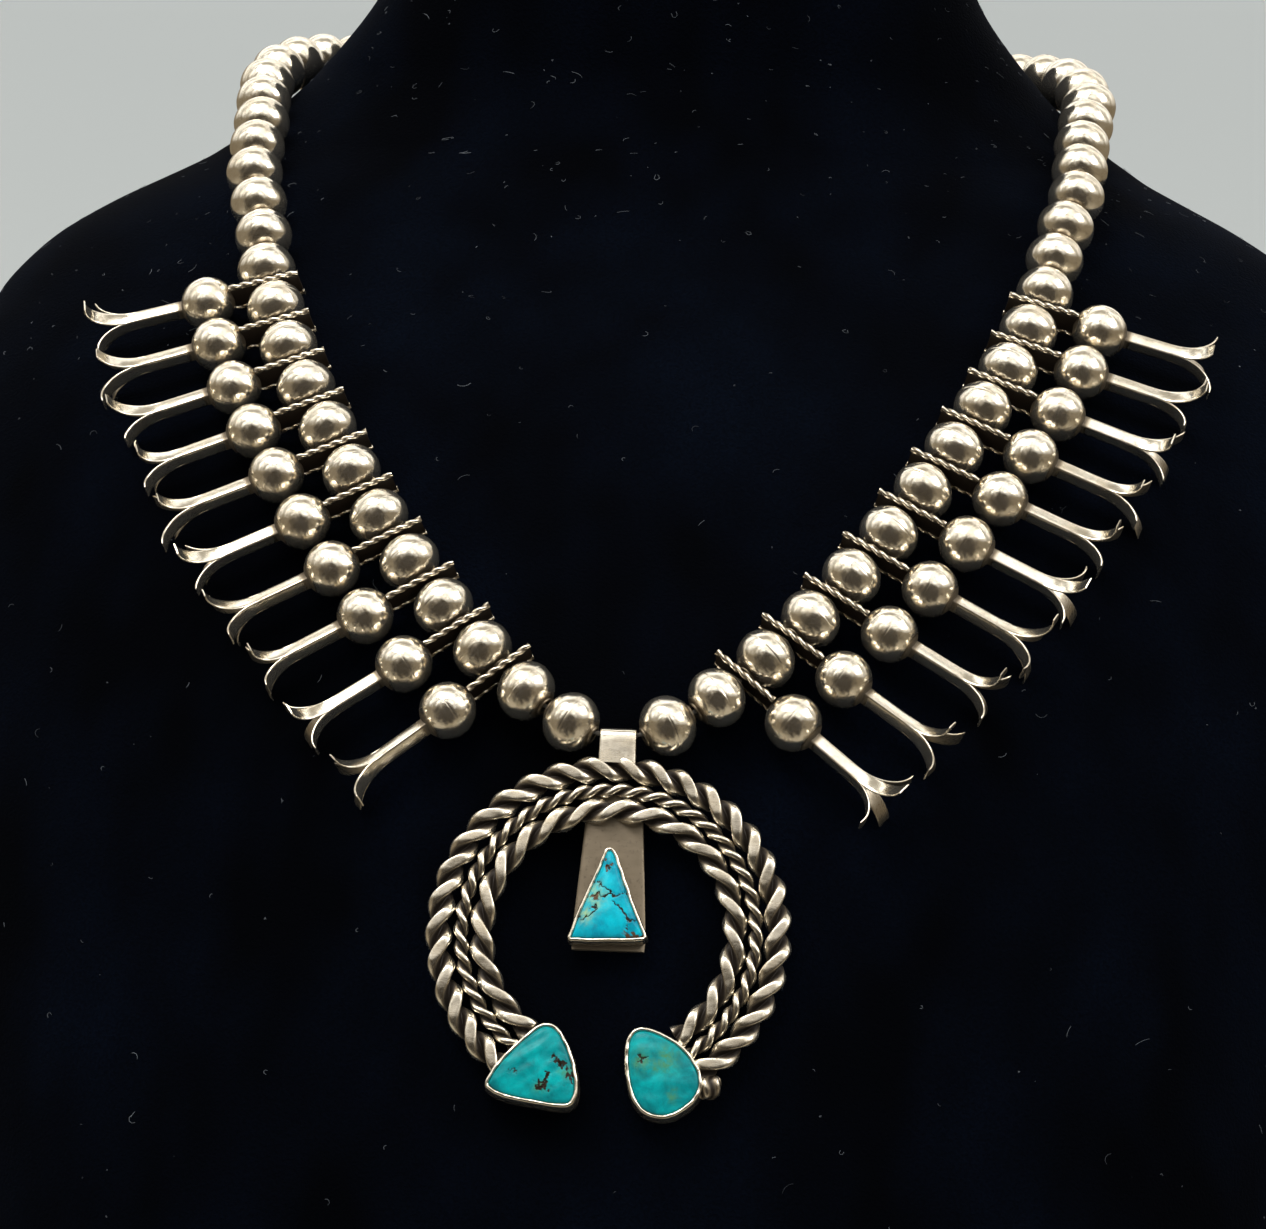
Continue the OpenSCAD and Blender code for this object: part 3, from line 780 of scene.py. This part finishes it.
def blossom_plate(shape, place, seed):
    """The plate on the thread, with a twisted wire along each edge."""
    end = REACH - 0.94 * BLOSSOM_R
    x = np.linspace(-PLATE_IN, end, PLATE_STEPS)
    path = np.stack([x, 0 * x, 0 * x], -1)
    points, _, _ = strip(path, [0, 1, 0], PLATE_W - WIRE_R, PLATE_T)
    # Painted shade: the whole plate is set fully dark, its tarnish deepened to stand for shadow and
    # the black velvet it mirrors.
    shape.add(points, grid_faces(*points.shape[:2]), 1.0, place)
    count = 1 + int(round((end + PLATE_IN) / WIRE_TURN * PLATE_STEPS))
    x = np.linspace(-PLATE_IN - 0.15 * MM, end, count)
    for k, y in enumerate((-PLATE_W / 2, PLATE_W / 2)):
        path = np.stack([x, 0 * x + y, 0 * x], -1)
        start = seed * 1.7 + k
        rings, dip = twisted(path, np.array([0, 0, 1.0]), WIRE_R, WIRE_TURN, WIRE_SIDES, 0.5, start)
        shape.add(rings, grid_faces(count, WIRE_SIDES), (dip**2 * 0.95).reshape(-1), place)


def petal_path(start, turn, arc, tip_turn):
    """Straight along the stem, then curling out; in the plane of X and one side way."""
    straight = np.linspace(start, REACH + BLOSSOM_R + STEM_L, STEM_STEPS)
    path = [(x, 0.0) for x in straight]
    x, y = path[-1]
    step = arc * turn / PETAL_STEPS
    for i in range(PETAL_STEPS):
        share = (i + 0.5) / PETAL_STEPS
        angle = turn * share + tip_turn * share**4
        x, y = x + step * math.cos(angle), y + step * math.sin(angle)
        path.append((x, y))
    return np.array(path)


def blossom_petals(shape, place, roll, seed):
    """Four strips that lie together as a square stem and curl apart as petals."""
    rng = np.random.default_rng(seed)
    roll += math.radians(45 + rng.uniform(-ROLL_NOISE, ROLL_NOISE))
    start = REACH + BLOSSOM_R - 0.75 * MM
    for k in range(4):
        turn = PETAL_TURN * rng.uniform(0.82, 1.12)
        arc = PETAL_ARC * rng.uniform(1.10, 1.34)
        flat = petal_path(start, turn, arc, rng.uniform(0.1, 0.9))
        side = (STEM_W - PETAL_T) / 2 + flat[:, 1]
        path = np.stack([flat[:, 0], side, 0 * side], -1)
        along = np.clip((flat[:, 0] - REACH - BLOSSOM_R - STEM_L * 0.85) / (6 * MM), 0, 1)
        width = (STEM_W - STEM_SLIT) * (1 + 0.20 * along)
        width[-2:] *= [0.97, 0.84]
        thick = PETAL_T * (1 - 0.25 * along)
        thick[-1] *= 0.6
        points, u, v = strip(path, [0, 0, 1], width, thick, bow=0.03)
        # Painted shade: the strips' long edges along the stem are darkened, as dark lines in the
        # slits between them.
        edge = np.abs(u) ** 6 * (1 - smooth_step(along, 0.0, 0.3))[:, None]
        base = smooth_step(-flat[:, 0], -(start + 1.6 * MM), -(start + 0.8 * MM))[:, None]
        dark = np.maximum(0.35 * (v < 0) * along[:, None] + 0.5 * edge, 0.75 * base)
        spin = Matrix.Rotation(roll + k * math.pi / 2, 4, "X")
        shape.add(points, grid_faces(*points.shape[:2]), dark.reshape(-1), place @ spin)


def make_blossoms(side, beads):
    for k in range(1, BLOSSOMS + 1):
        place = blossom_frame(side, k, beads)
        seed = BLOSSOM_SEED + side_seed(side) + k
        shape = Shape()
        blossom_bead(shape, place, seed)
        blossom_plate(shape, place, seed)
        roll = LOW_ROLL + (HIGH_ROLL - LOW_ROLL) * (k - 1) / (BLOSSOMS - 1)
        blossom_petals(shape, place, roll if side == "right" else -roll, seed)
        name = f"blossom_{side}_{k}"
        shape.piece(name + "_silver", SILVER, "display", [name], sharp=55)


# Pendant, in its own frame: origin on the thread, X right, Y back, Z up.
NAJA = naja_frame()
NAJA_R = 29.8 * MM
BAIL_DROP = 3.2 * MM
NAJA_MIDDLE = -(BAIL_DROP + NAJA_R)
NAJA_SPAN = math.radians(290)
OUTER_D, MIDDLE_D, INNER_D = 4.6 * MM, 2.6 * MM, 4.2 * MM
OUTER_R = NAJA_R - OUTER_D / 2
MIDDLE_R = NAJA_R - OUTER_D - MIDDLE_D / 2
INNER_R = NAJA_R - OUTER_D - MIDDLE_D - INNER_D / 2
RING_IN = INNER_R - INNER_D / 2
BACK = OUTER_D / 2
WIRE_LEAN = 0.86
GROOVE_FLOOR = 0.24
FILE_SWAY = 0.04
FACE_TARNISH = 0.26


def rope(shape, radius, diameter, facets, way, filed, steps, sides, seed):
    """Two thick wires twisted along the horseshoe, the front filed into flat facets.

    Facets are counted from end to end and each takes some steps; way is 1 or -1, the twist's
    hand; filed is how far out the flat lies, as a share of the rope's radius.
    """
    u = np.linspace(0, 1, facets * steps + 1)
    angle = (u - 0.5) * NAJA_SPAN
    twist = way * math.pi * facets * u
    offset = around(sides)
    ridge, side = np.abs(np.cos(offset)), np.abs(np.sin(offset))
    share = np.maximum(ridge / (ridge**2 + WIRE_LEAN * side**2), GROOVE_FLOOR)
    turn = twist[:, None] + offset
    reach = np.broadcast_to(share * diameter / 2, turn.shape)
    out, front = reach * np.cos(turn), reach * np.sin(turn)
    r = radius + out
    place = np.stack([r * np.sin(angle)[:, None], 0 * r, r * np.cos(angle)[:, None]], -1)
    flat = filed * diameter / 2 * (1 + ripples(place, seed, 9 * MM, FILE_SWAY))
    soft = 0.035 * diameter
    over = (front - flat) / soft
    front = flat - soft * np.logaddexp(0, -over)
    groove = smooth_step(1 - share, 0.20, 0.42)
    face = smooth_step(over, 0.4, 2.0)
    back = smooth_step(-front, 0.1 * diameter, 0.45 * diameter)
    dark = np.maximum(np.maximum(groove, FACE_TARNISH * face), 0.35 * back)
    points = place + np.stack([0 * r, -front, NAJA_MIDDLE + 0 * r], -1)
    shape.add(points, grid_faces(len(u), sides), dark.reshape(-1), NAJA)


def stone_outline(node):
    """The stone's outline in the pendant's plane, as (x, z), and its back and front depth."""
    inverse = NAJA.inverted()
    p = node_points(node) @ np.array(inverse.to_3x3()).T + np.array(inverse.translation)
    back, front = p[:, 1].max(), p[:, 1].min()
    return outline(p[p[:, 1] > back - GRAIN][:, [0, 2]]), back, front


def offset_loop(loop, distance):
    """The loop moved outward by a distance."""
    run = unit(np.roll(loop, -1, 0) - np.roll(loop, 1, 0))
    return loop + distance * np.stack([run[:, 1], -run[:, 0]], -1)


DOME_H = 0.9 * MM
OUTLINE_STEPS = 8


def bezel(shape, node, back, seed):
    """A cup of sheet silver with its lip pressed over the stone."""
    ring, _, front = stone_outline(node)
    loop = smooth_loop(ring, OUTLINE_STEPS)
    lip = front + DOME_H
    # How far out from the stone in mm, how deep, and how tarnished.
    levels = [
        (0.70, back - 0.02 * MM, 0.55), (0.72, back - 0.5 * MM, 0.30), (0.66, back - 1.2 * MM, 0.12),
        (0.64, lip + 1.0 * MM, 0.05), (0.62, lip + 0.35 * MM, 0.02), (0.50, lip + 0.06 * MM, 0.0),
        (0.30, lip - 0.06 * MM, 0.0), (0.10, lip - 0.02 * MM, 0.0), (-0.04, lip + 0.14 * MM, 0.35),
        (0.02, lip + 0.6 * MM, 0.9), (0.0, back - 0.8 * MM, 1.0),
    ]
    rings, dark = [], []
    for grow, depth, tone in levels:
        q = offset_loop(loop, grow * MM)
        rings.append(np.stack([q[:, 0], np.full(len(q), depth), q[:, 1]], -1))
        dark += [tone] * len(q)
    rings = np.array(rings)
    wave = ripples(rings, seed, 3.5 * MM, 0.045 * MM)
    rings[..., 1] += wave * (rings[..., 1] < lip + 0.5 * MM)
    rings[..., 0] += ripples(rings, seed + 3, 4 * MM, 0.04 * MM)
    shape.add(rings, grid_faces(len(levels), len(loop)), dark, NAJA)


TAB_L, TAB_T = 21 * MM, 1.0 * MM
TAB_TOP_W, TAB_FOOT_W = 9.6 * MM, 12.3 * MM
TAB_TARNISH = 0.66
BAIL_W, BAIL_T = 6 * MM, 0.6 * MM
BAIL_R = 0.95 * MM
BAR_SIDES = 20


def tab(shape):
    """The flat tab that carries the drop."""
    z = np.linspace(MIDDLE_R, RING_IN - TAB_L, 16)
    width = TAB_TOP_W + (TAB_FOOT_W - TAB_TOP_W) * (RING_IN - z) / TAB_L
    width[-1] -= 0.5 * MM
    depth = BACK - 0.4 * MM - TAB_T / 2
    path = np.stack([0 * z, 0 * z + depth, NAJA_MIDDLE + z], -1)
    points, _, _ = strip(path, [1, 0, 0], width, TAB_T, BAR_SIDES)
    shape.add(points, grid_faces(len(z), BAR_SIDES), TAB_TARNISH, NAJA)


def bail(shape):
    """A bent strip that rides on the thread."""
    half = BAIL_R + BAIL_T / 2
    top = THREAD_R + BAIL_T / 2 - BAIL_R
    low = -BAIL_DROP - OUTER_D / 3
    points = [(-half, low), (-half, low * 0.6), (-half, low * 0.25), (-half, top)]
    for k in range(1, 12):
        a = math.pi * k / 12
        points.append((-half * math.cos(a), top + half * math.sin(a)))
    points += [(half, top), (half, low * 0.25), (half, low * 0.6), (half, low)]
    path = np.array([(0, y, z) for y, z in points])
    rings, _, _ = strip(path, [1, 0, 0], BAIL_W, BAIL_T, BAR_SIDES)
    tone = np.where(path[:, 2] < top - 0.3 * MM, 0.24, 0.0)
    shape.add(rings, grid_faces(len(path), BAR_SIDES), np.repeat(tone, BAR_SIDES), NAJA)


# The knob's place in the pendant's plane, from the horseshoe's middle: x right, z up.
KNOB = (17.4 * MM, -24.8 * MM)
KNOB_R = 2.0 * MM
KNOB_STRETCH = 1.15
KNOB_TIP = math.radians(35)


def knob(shape):
    """The rope's end, curled beside the right stone."""
    rows, cols = 18, 28
    tilt = np.linspace(0.02, math.pi - 0.02, rows)[:, None]
    turn = around(cols)[None]
    ridge = np.abs(np.sin(1.5 * (turn + 1.6 * np.cos(tilt)))) ** 2.5
    r = KNOB_R * (1 - 0.22 * ridge) * (1 + 0.1 * np.cos(tilt))
    out = r * np.sin(tilt)
    points = np.stack([out * np.cos(turn), out * np.sin(turn), r * np.cos(tilt) * KNOB_STRETCH], -1)
    tipped = Matrix.Rotation(KNOB_TIP, 4, "Y")
    place = NAJA @ Matrix.Translation((KNOB[0], 0, NAJA_MIDDLE + KNOB[1])) @ tipped
    shape.add(points, grid_faces(rows, cols), np.clip(0.2 + ridge, 0, 1).reshape(-1), place)


def make_naja():
    shape = Shape()
    rope(shape, OUTER_R, OUTER_D, 28, 1, 0.72, 18, 52, 11)
    rope(shape, MIDDLE_R, MIDDLE_D, 37, -1, 0.95, 12, 28, 12)
    rope(shape, INNER_R, INNER_D, 19, -1, 0.72, 24, 52, 13)
    tab(shape)
    bail(shape)
    knob(shape)
    bezel(shape, "stone_left", BACK - 0.4 * MM, 21)
    bezel(shape, "stone_right", BACK - 0.4 * MM, 22)
    bezel(shape, "stone_drop", BACK - 1.4 * MM, 23)
    shape.piece("naja_silver", SILVER, "naja", ["naja"], sharp=50)


# Stones, each with its cracks and stains charted as shares of its half width and
# half height from its middle: x right, z up.
DROP_MARKS = {
    "cracks": [
        [(-0.44, 0.28), (-0.24, 0.20), (-0.04, 0.10), (0.07, 0.01), (0.34, 0.00), (0.63, 0.04)],
        [(-0.62, -0.02), (-0.44, -0.04), (-0.24, 0.02), (-0.12, -0.10), (0.07, 0.01)],
        [(0.15, -0.20), (0.41, -0.40), (0.56, -0.55), (0.52, -0.88)],
        [(0.56, -0.55), (0.80, -0.62)],
        [(-0.11, 0.64), (0.02, 0.56)],
        [(-0.78, -0.58), (-0.48, -0.46), (-0.30, -0.30)],
    ],
    "matrix": [(-0.37, -0.08, 0.08), (-0.11, 0.64, 0.06), (0.48, 0.31, 0.06), (0.70, -0.05, 0.06),
               (0.50, -0.92, 0.08), (0.74, -0.95, 0.08), (0.94, -0.96, 0.08)],
    "green": [(-0.37, -0.08, 0.27), (-0.60, -0.50, 0.18), (0.48, 0.31, 0.10), (0.66, -0.05, 0.10)],
}
LEFT_MARKS = {
    "cracks": [
        [(0.50, 0.18), (0.58, 0.08), (0.66, 0.0), (0.74, -0.04)],
        [(0.36, -0.34), (0.30, -0.48), (0.26, -0.62)],
        [(0.14, -0.52), (0.30, -0.50)],
    ],
    "matrix": [(0.66, 0.0, 0.09), (0.54, 0.17, 0.06), (0.91, -0.31, 0.09), (0.36, -0.38, 0.08),
               (0.14, -0.52, 0.06), (0.26, -0.62, 0.08), (-0.44, -0.21, 0.035)],
    "green": [(0.20, -0.60, 0.16), (0.80, -0.20, 0.14)],
}
RIGHT_MARKS = {
    "cracks": [
        [(-0.72, 0.44), (-0.56, 0.30), (-0.44, 0.34)],
    ],
    "matrix": [(-0.62, 0.24, 0.07)],
    "green": [(-0.62, 0.26, 0.26), (0.10, 0.30, 0.30), (-0.20, 0.14, 0.18), (0.30, -0.55, 0.14)],
}
STONE_RINGS = 64
CRACK_W, CRACK_DEPTH = 0.13 * MM, 0.20 * MM
HALO_W, MATRIX_DEPTH = 0.34 * MM, 0.10 * MM
# Width of the painted shade round a stone's rim, as a share of its size.
RIM_SHADE_W = 0.022


def line_distance(p, line):
    """Each point's distance from a line of several straight runs."""
    best = np.full(p.shape[:-1], 9.0)
    for a, b in zip(line[:-1], line[1:]):
        a, b = np.array(a), np.array(b)
        t = np.clip(((p - a) @ (b - a)) / ((b - a) @ (b - a)), 0, 1)
        best = np.minimum(best, np.linalg.norm(p - a - t[..., None] * (b - a), axis=-1))
    return best


def stone_marks(marks, chart, wave, size):
    """How cracked, stained and green each point is; wave makes the marks ragged."""
    crack_and_rim_shade, matrix, green = (np.zeros(chart.shape[:2]) for _ in range(3))
    for line in marks["cracks"]:
        near = line_distance(chart + wave, line) * size
        crack_and_rim_shade = np.maximum(crack_and_rim_shade, np.exp(-((near / CRACK_W) ** 2)))
        matrix = np.maximum(matrix, 0.55 * np.exp(-((near / HALO_W) ** 2)))
    for x, z, r in marks["matrix"]:
        near = np.linalg.norm(chart + 2.0 * wave - [x, z], axis=-1) / (1.3 * r)
        matrix = np.maximum(matrix, np.exp(-(near**2) * 0.7))
    for x, z, r in marks["green"]:
        near = np.linalg.norm(chart + wave - [x, z], axis=-1) / r
        green = np.maximum(green, np.exp(-(near**2)))
    return crack_and_rim_shade, matrix, green


def make_stone(node, marks, material, seed):
    """A plain side down in the bezel, then a low dome of rings toward the middle."""
    ring, back, front = stone_outline(node)
    loop = smooth_loop(ring, OUTLINE_STEPS)
    low, high = loop.min(0), loop.max(0)
    middle, half = (low + high) / 2, (high - low) / 2
    share = np.concatenate([[1, 1], 1 - np.linspace(0, 1, STONE_RINGS) ** 1.1 * 0.985])
    flat = middle + share[:, None, None] * (loop - middle)
    edge = front + DOME_H
    inset = 1 - share
    rise = DOME_H * (1 - np.clip(share, 0, 1) ** 2.6) ** 0.75
    depth = edge - rise + 0.25 * MM * np.exp(-inset / 0.03)
    depth[0], depth[1] = back, edge + 0.35 * MM
    depth = np.broadcast_to(depth[:, None], flat.shape[:2])
    points = np.stack([flat[..., 0], depth, flat[..., 1]], -1)
    wave = 0.035 * np.stack([ripples(points, seed + k, 2.2 * MM, 1) for k in (5, 6)], -1)
    wave += 0.018 * np.stack([ripples(points, seed + k, 0.8 * MM, 1) for k in (7, 8)], -1)
    crack_and_rim_shade, matrix, green = stone_marks(marks, (flat - middle) / half, wave, half.mean())
    # Painted shade: a dark line round the stone's rim, where it meets the bezel, carried in the crack
    # layer.
    crack_and_rim_shade = np.maximum(crack_and_rim_shade, 0.6 * np.exp(-((inset / RIM_SHADE_W) ** 2))[:, None])
    lumps = ripples(points, seed, 5 * MM, 0.11 * MM) * smooth_step(inset, 0.0, 0.25)[:, None]
    sunk = CRACK_DEPTH * crack_and_rim_shade + MATRIX_DEPTH * np.clip(matrix, 0, 1)
    points[..., 1] += (lumps + sunk) * (np.arange(len(share)) > 1)[:, None]
    shape = Shape()
    shape.add(points, grid_faces(len(share), len(loop)), 0, NAJA)
    layers = {"crack_and_rim_shade": crack_and_rim_shade.reshape(-1), "matrix": matrix.reshape(-1), "green": green.reshape(-1)}
    shape.piece(node + "_cabochon", material, "naja", [node], sharp=50, layers=layers)


# Clasp, a plain barrel of two screwed halves behind the neck.
CLASP_STEPS = 48
CLASP_BORE = 1.5 * MM
KNURL = 0.012


def make_clasp():
    low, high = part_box("clasp")
    half = (high[0] - low[0]) / 2
    r = (high[2] - low[2]) / 2
    bore = CLASP_BORE
    side = [
        (bore, 0), (bore, half - 0.1 * MM), (bore + 0.3 * MM, half), (r * 0.60, half),
        (r * 0.66, half - 0.15 * MM), (r * 0.72, half - 0.7 * MM), (r * 0.98, half - 1.3 * MM),
        (r, half - 1.6 * MM), (r, half - 2.1 * MM), (r * 0.93, half - 2.3 * MM), (r, half - 2.5 * MM),
        (r, half * 0.5), (r, 0.55 * MM), (r * 0.98, 0.25 * MM), (r * 0.9, 0.08 * MM),
    ]
    profile = np.array(side[1:] + [(a, -b) for a, b in side[:0:-1]])
    points = lathe(profile, CLASP_STEPS)
    knurl = 1 + KNURL * (np.arange(CLASP_STEPS) % 2)
    ridged = (profile[:, 0] > 0.995 * r) & (np.abs(profile[:, 1]) < 0.5 * half + 1e-6)
    points[ridged, :, :2] *= knurl[None, :, None]
    dark = np.repeat(np.clip((0.97 * r - profile[:, 0]) / (0.4 * r), 0, 0.8), CLASP_STEPS)
    faces = grid_faces(len(profile), CLASP_STEPS, ring_loop=True)
    along_x = Matrix(((0, 0, 1), (0, 1, 0), (-1, 0, 0))).to_4x4()
    shape = Shape()
    shape.add(points, faces, dark, Matrix.Translation(Vector(middle_of("clasp"))) @ along_x)
    shape.piece("clasp_barrel", SILVER, "display", ["clasp"], sharp=30)


# Stage: floor and backdrop in one pale round sheet, and soft studio light.
STAGE_COLOR = (0.30, 0.315, 0.315, 1)
STAGE_GLOW = (0.275, 0.288, 0.285, 1)
STAGE_R, STAGE_BEND, STAGE_H = 2.4, 0.5, 1.1
STAGE_DISC = 0.6
STAGE_STEPS, BEND_STEPS = 96, 12


def make_stage():
    floor_r = STAGE_R - STAGE_BEND
    profile = [(STAGE_DISC, 0.0), (floor_r, 0.0)]
    for k in range(1, BEND_STEPS + 1):
        a = math.pi / 2 * k / BEND_STEPS
        profile.append((floor_r + STAGE_BEND * math.sin(a), STAGE_BEND * (1 - math.cos(a))))
    profile.append((STAGE_R, STAGE_H))
    points = lathe(profile, STAGE_STEPS)
    faces = [list(range(STAGE_STEPS))]
    for row in range(0, (len(profile) - 1) * STAGE_STEPS, STAGE_STEPS):
        for k in range(STAGE_STEPS):
            a, b = row + k, row + (k + 1) % STAGE_STEPS
            faces.append([a, a + STAGE_STEPS, b + STAGE_STEPS, b])
    mesh = bpy.data.meshes.new("backdrop")
    mesh.from_pydata(points.reshape(-1, 3).tolist(), [], faces)
    mesh.polygons.foreach_set("use_smooth", [True] * len(faces))
    look = material_look("backdrop")
    look.set(Base_Color=STAGE_COLOR, Roughness=0.9, Emission_Color=STAGE_GLOW, Emission_Strength=1.0)
    look.owner.cycles.emission_sampling = "NONE"
    mesh.materials.append(look.owner)
    obj = bpy.data.objects.new("backdrop", mesh)
    obj.visible_glossy = False
    bpy.context.scene.collection.objects.link(obj)


def area_light(name, place, size, power, color):
    data = bpy.data.lights.new(name, "AREA")
    data.shape = "RECTANGLE"
    data.size, data.size_y = size
    data.energy = power
    data.color = color
    obj = bpy.data.objects.new(name, data)
    turn = (Vector(LIGHT_AIM) - Vector(place)).to_track_quat("-Z", "Y").to_matrix().to_4x4()
    obj.matrix_world = Matrix.Translation(place) @ turn
    bpy.context.scene.collection.objects.link(obj)


ROOM = (0.20, 0.16, 0.105, 1)
CEILING = (1.7, 1.66, 1.58, 1)
DIM_CEILING = (0.42, 0.385, 0.32, 1)
SHADE = (0.028, 0.019, 0.010, 1)
TABLE = (0.44, 0.38, 0.28, 1)


def make_room():
    """The room that the silver mirrors, painted by direction."""
    sky = Look(bpy.data.worlds.new("room"), "Background", "Generated")
    split = sky.add("SeparateXYZ", Vector=sky.place)
    y, z = split.outputs["Y"], split.outputs["Z"]
    bands = sky.ranged(sky.noise(1, 2, 0.5, sky.stretched((1.5, 6.0, 1.5))), 0.44, 0.56)
    lamps = sky.mix(bands, DIM_CEILING, CEILING)
    color = sky.mix(sky.ranged(z, 0.12, 0.46), ROOM, lamps)
    color = sky.mix(sky.ranged(z, -0.30, -0.70), color, TABLE)
    # Dark straight ahead and a little down, like the unlit side of a studio.
    ahead = sky.math("ADD", sky.math("MULTIPLY", y, -0.96), sky.math("MULTIPLY", z, -0.28))
    ragged = sky.ranged(sky.noise(4, 3, 0.6), 0.3, 0.7, -0.16, 0.16)
    ahead = sky.math("ADD", ahead, ragged)
    color = sky.mix(sky.ranged(ahead, 0.60, 0.86), color, SHADE)
    sky.set(Color=color, Strength=1.0)
    bpy.context.scene.world = sky.owner


LIGHT_AIM = (0, -0.06, 0.14)


def make_lights():
    area_light("key", (-0.35, -0.55, 1.15), (0.8, 0.5), 9, (1.0, 0.98, 0.94))
    area_light("fill", (0.95, -0.45, 0.85), (0.5, 0.6), 4, (1.0, 0.98, 0.95))


def make_all():
    make_camera()
    sides = {side: side_beads(side) for side in ("left", "right")}
    surface = make_bust()
    make_lint(surface)
    for side, beads in sides.items():
        make_beads(side, beads)
        make_blossoms(side, beads)
    make_thread(sides)
    make_clasp()
    make_naja()
    make_stone("stone_drop", DROP_MARKS, BLUE, 31)
    make_stone("stone_left", LEFT_MARKS, GREEN, 32)
    make_stone("stone_right", RIGHT_MARKS, GREEN, 33)
    make_stage()
    make_room()
    make_lights()
    bpy.context.scene.view_settings.view_transform = "Standard"


make_all()
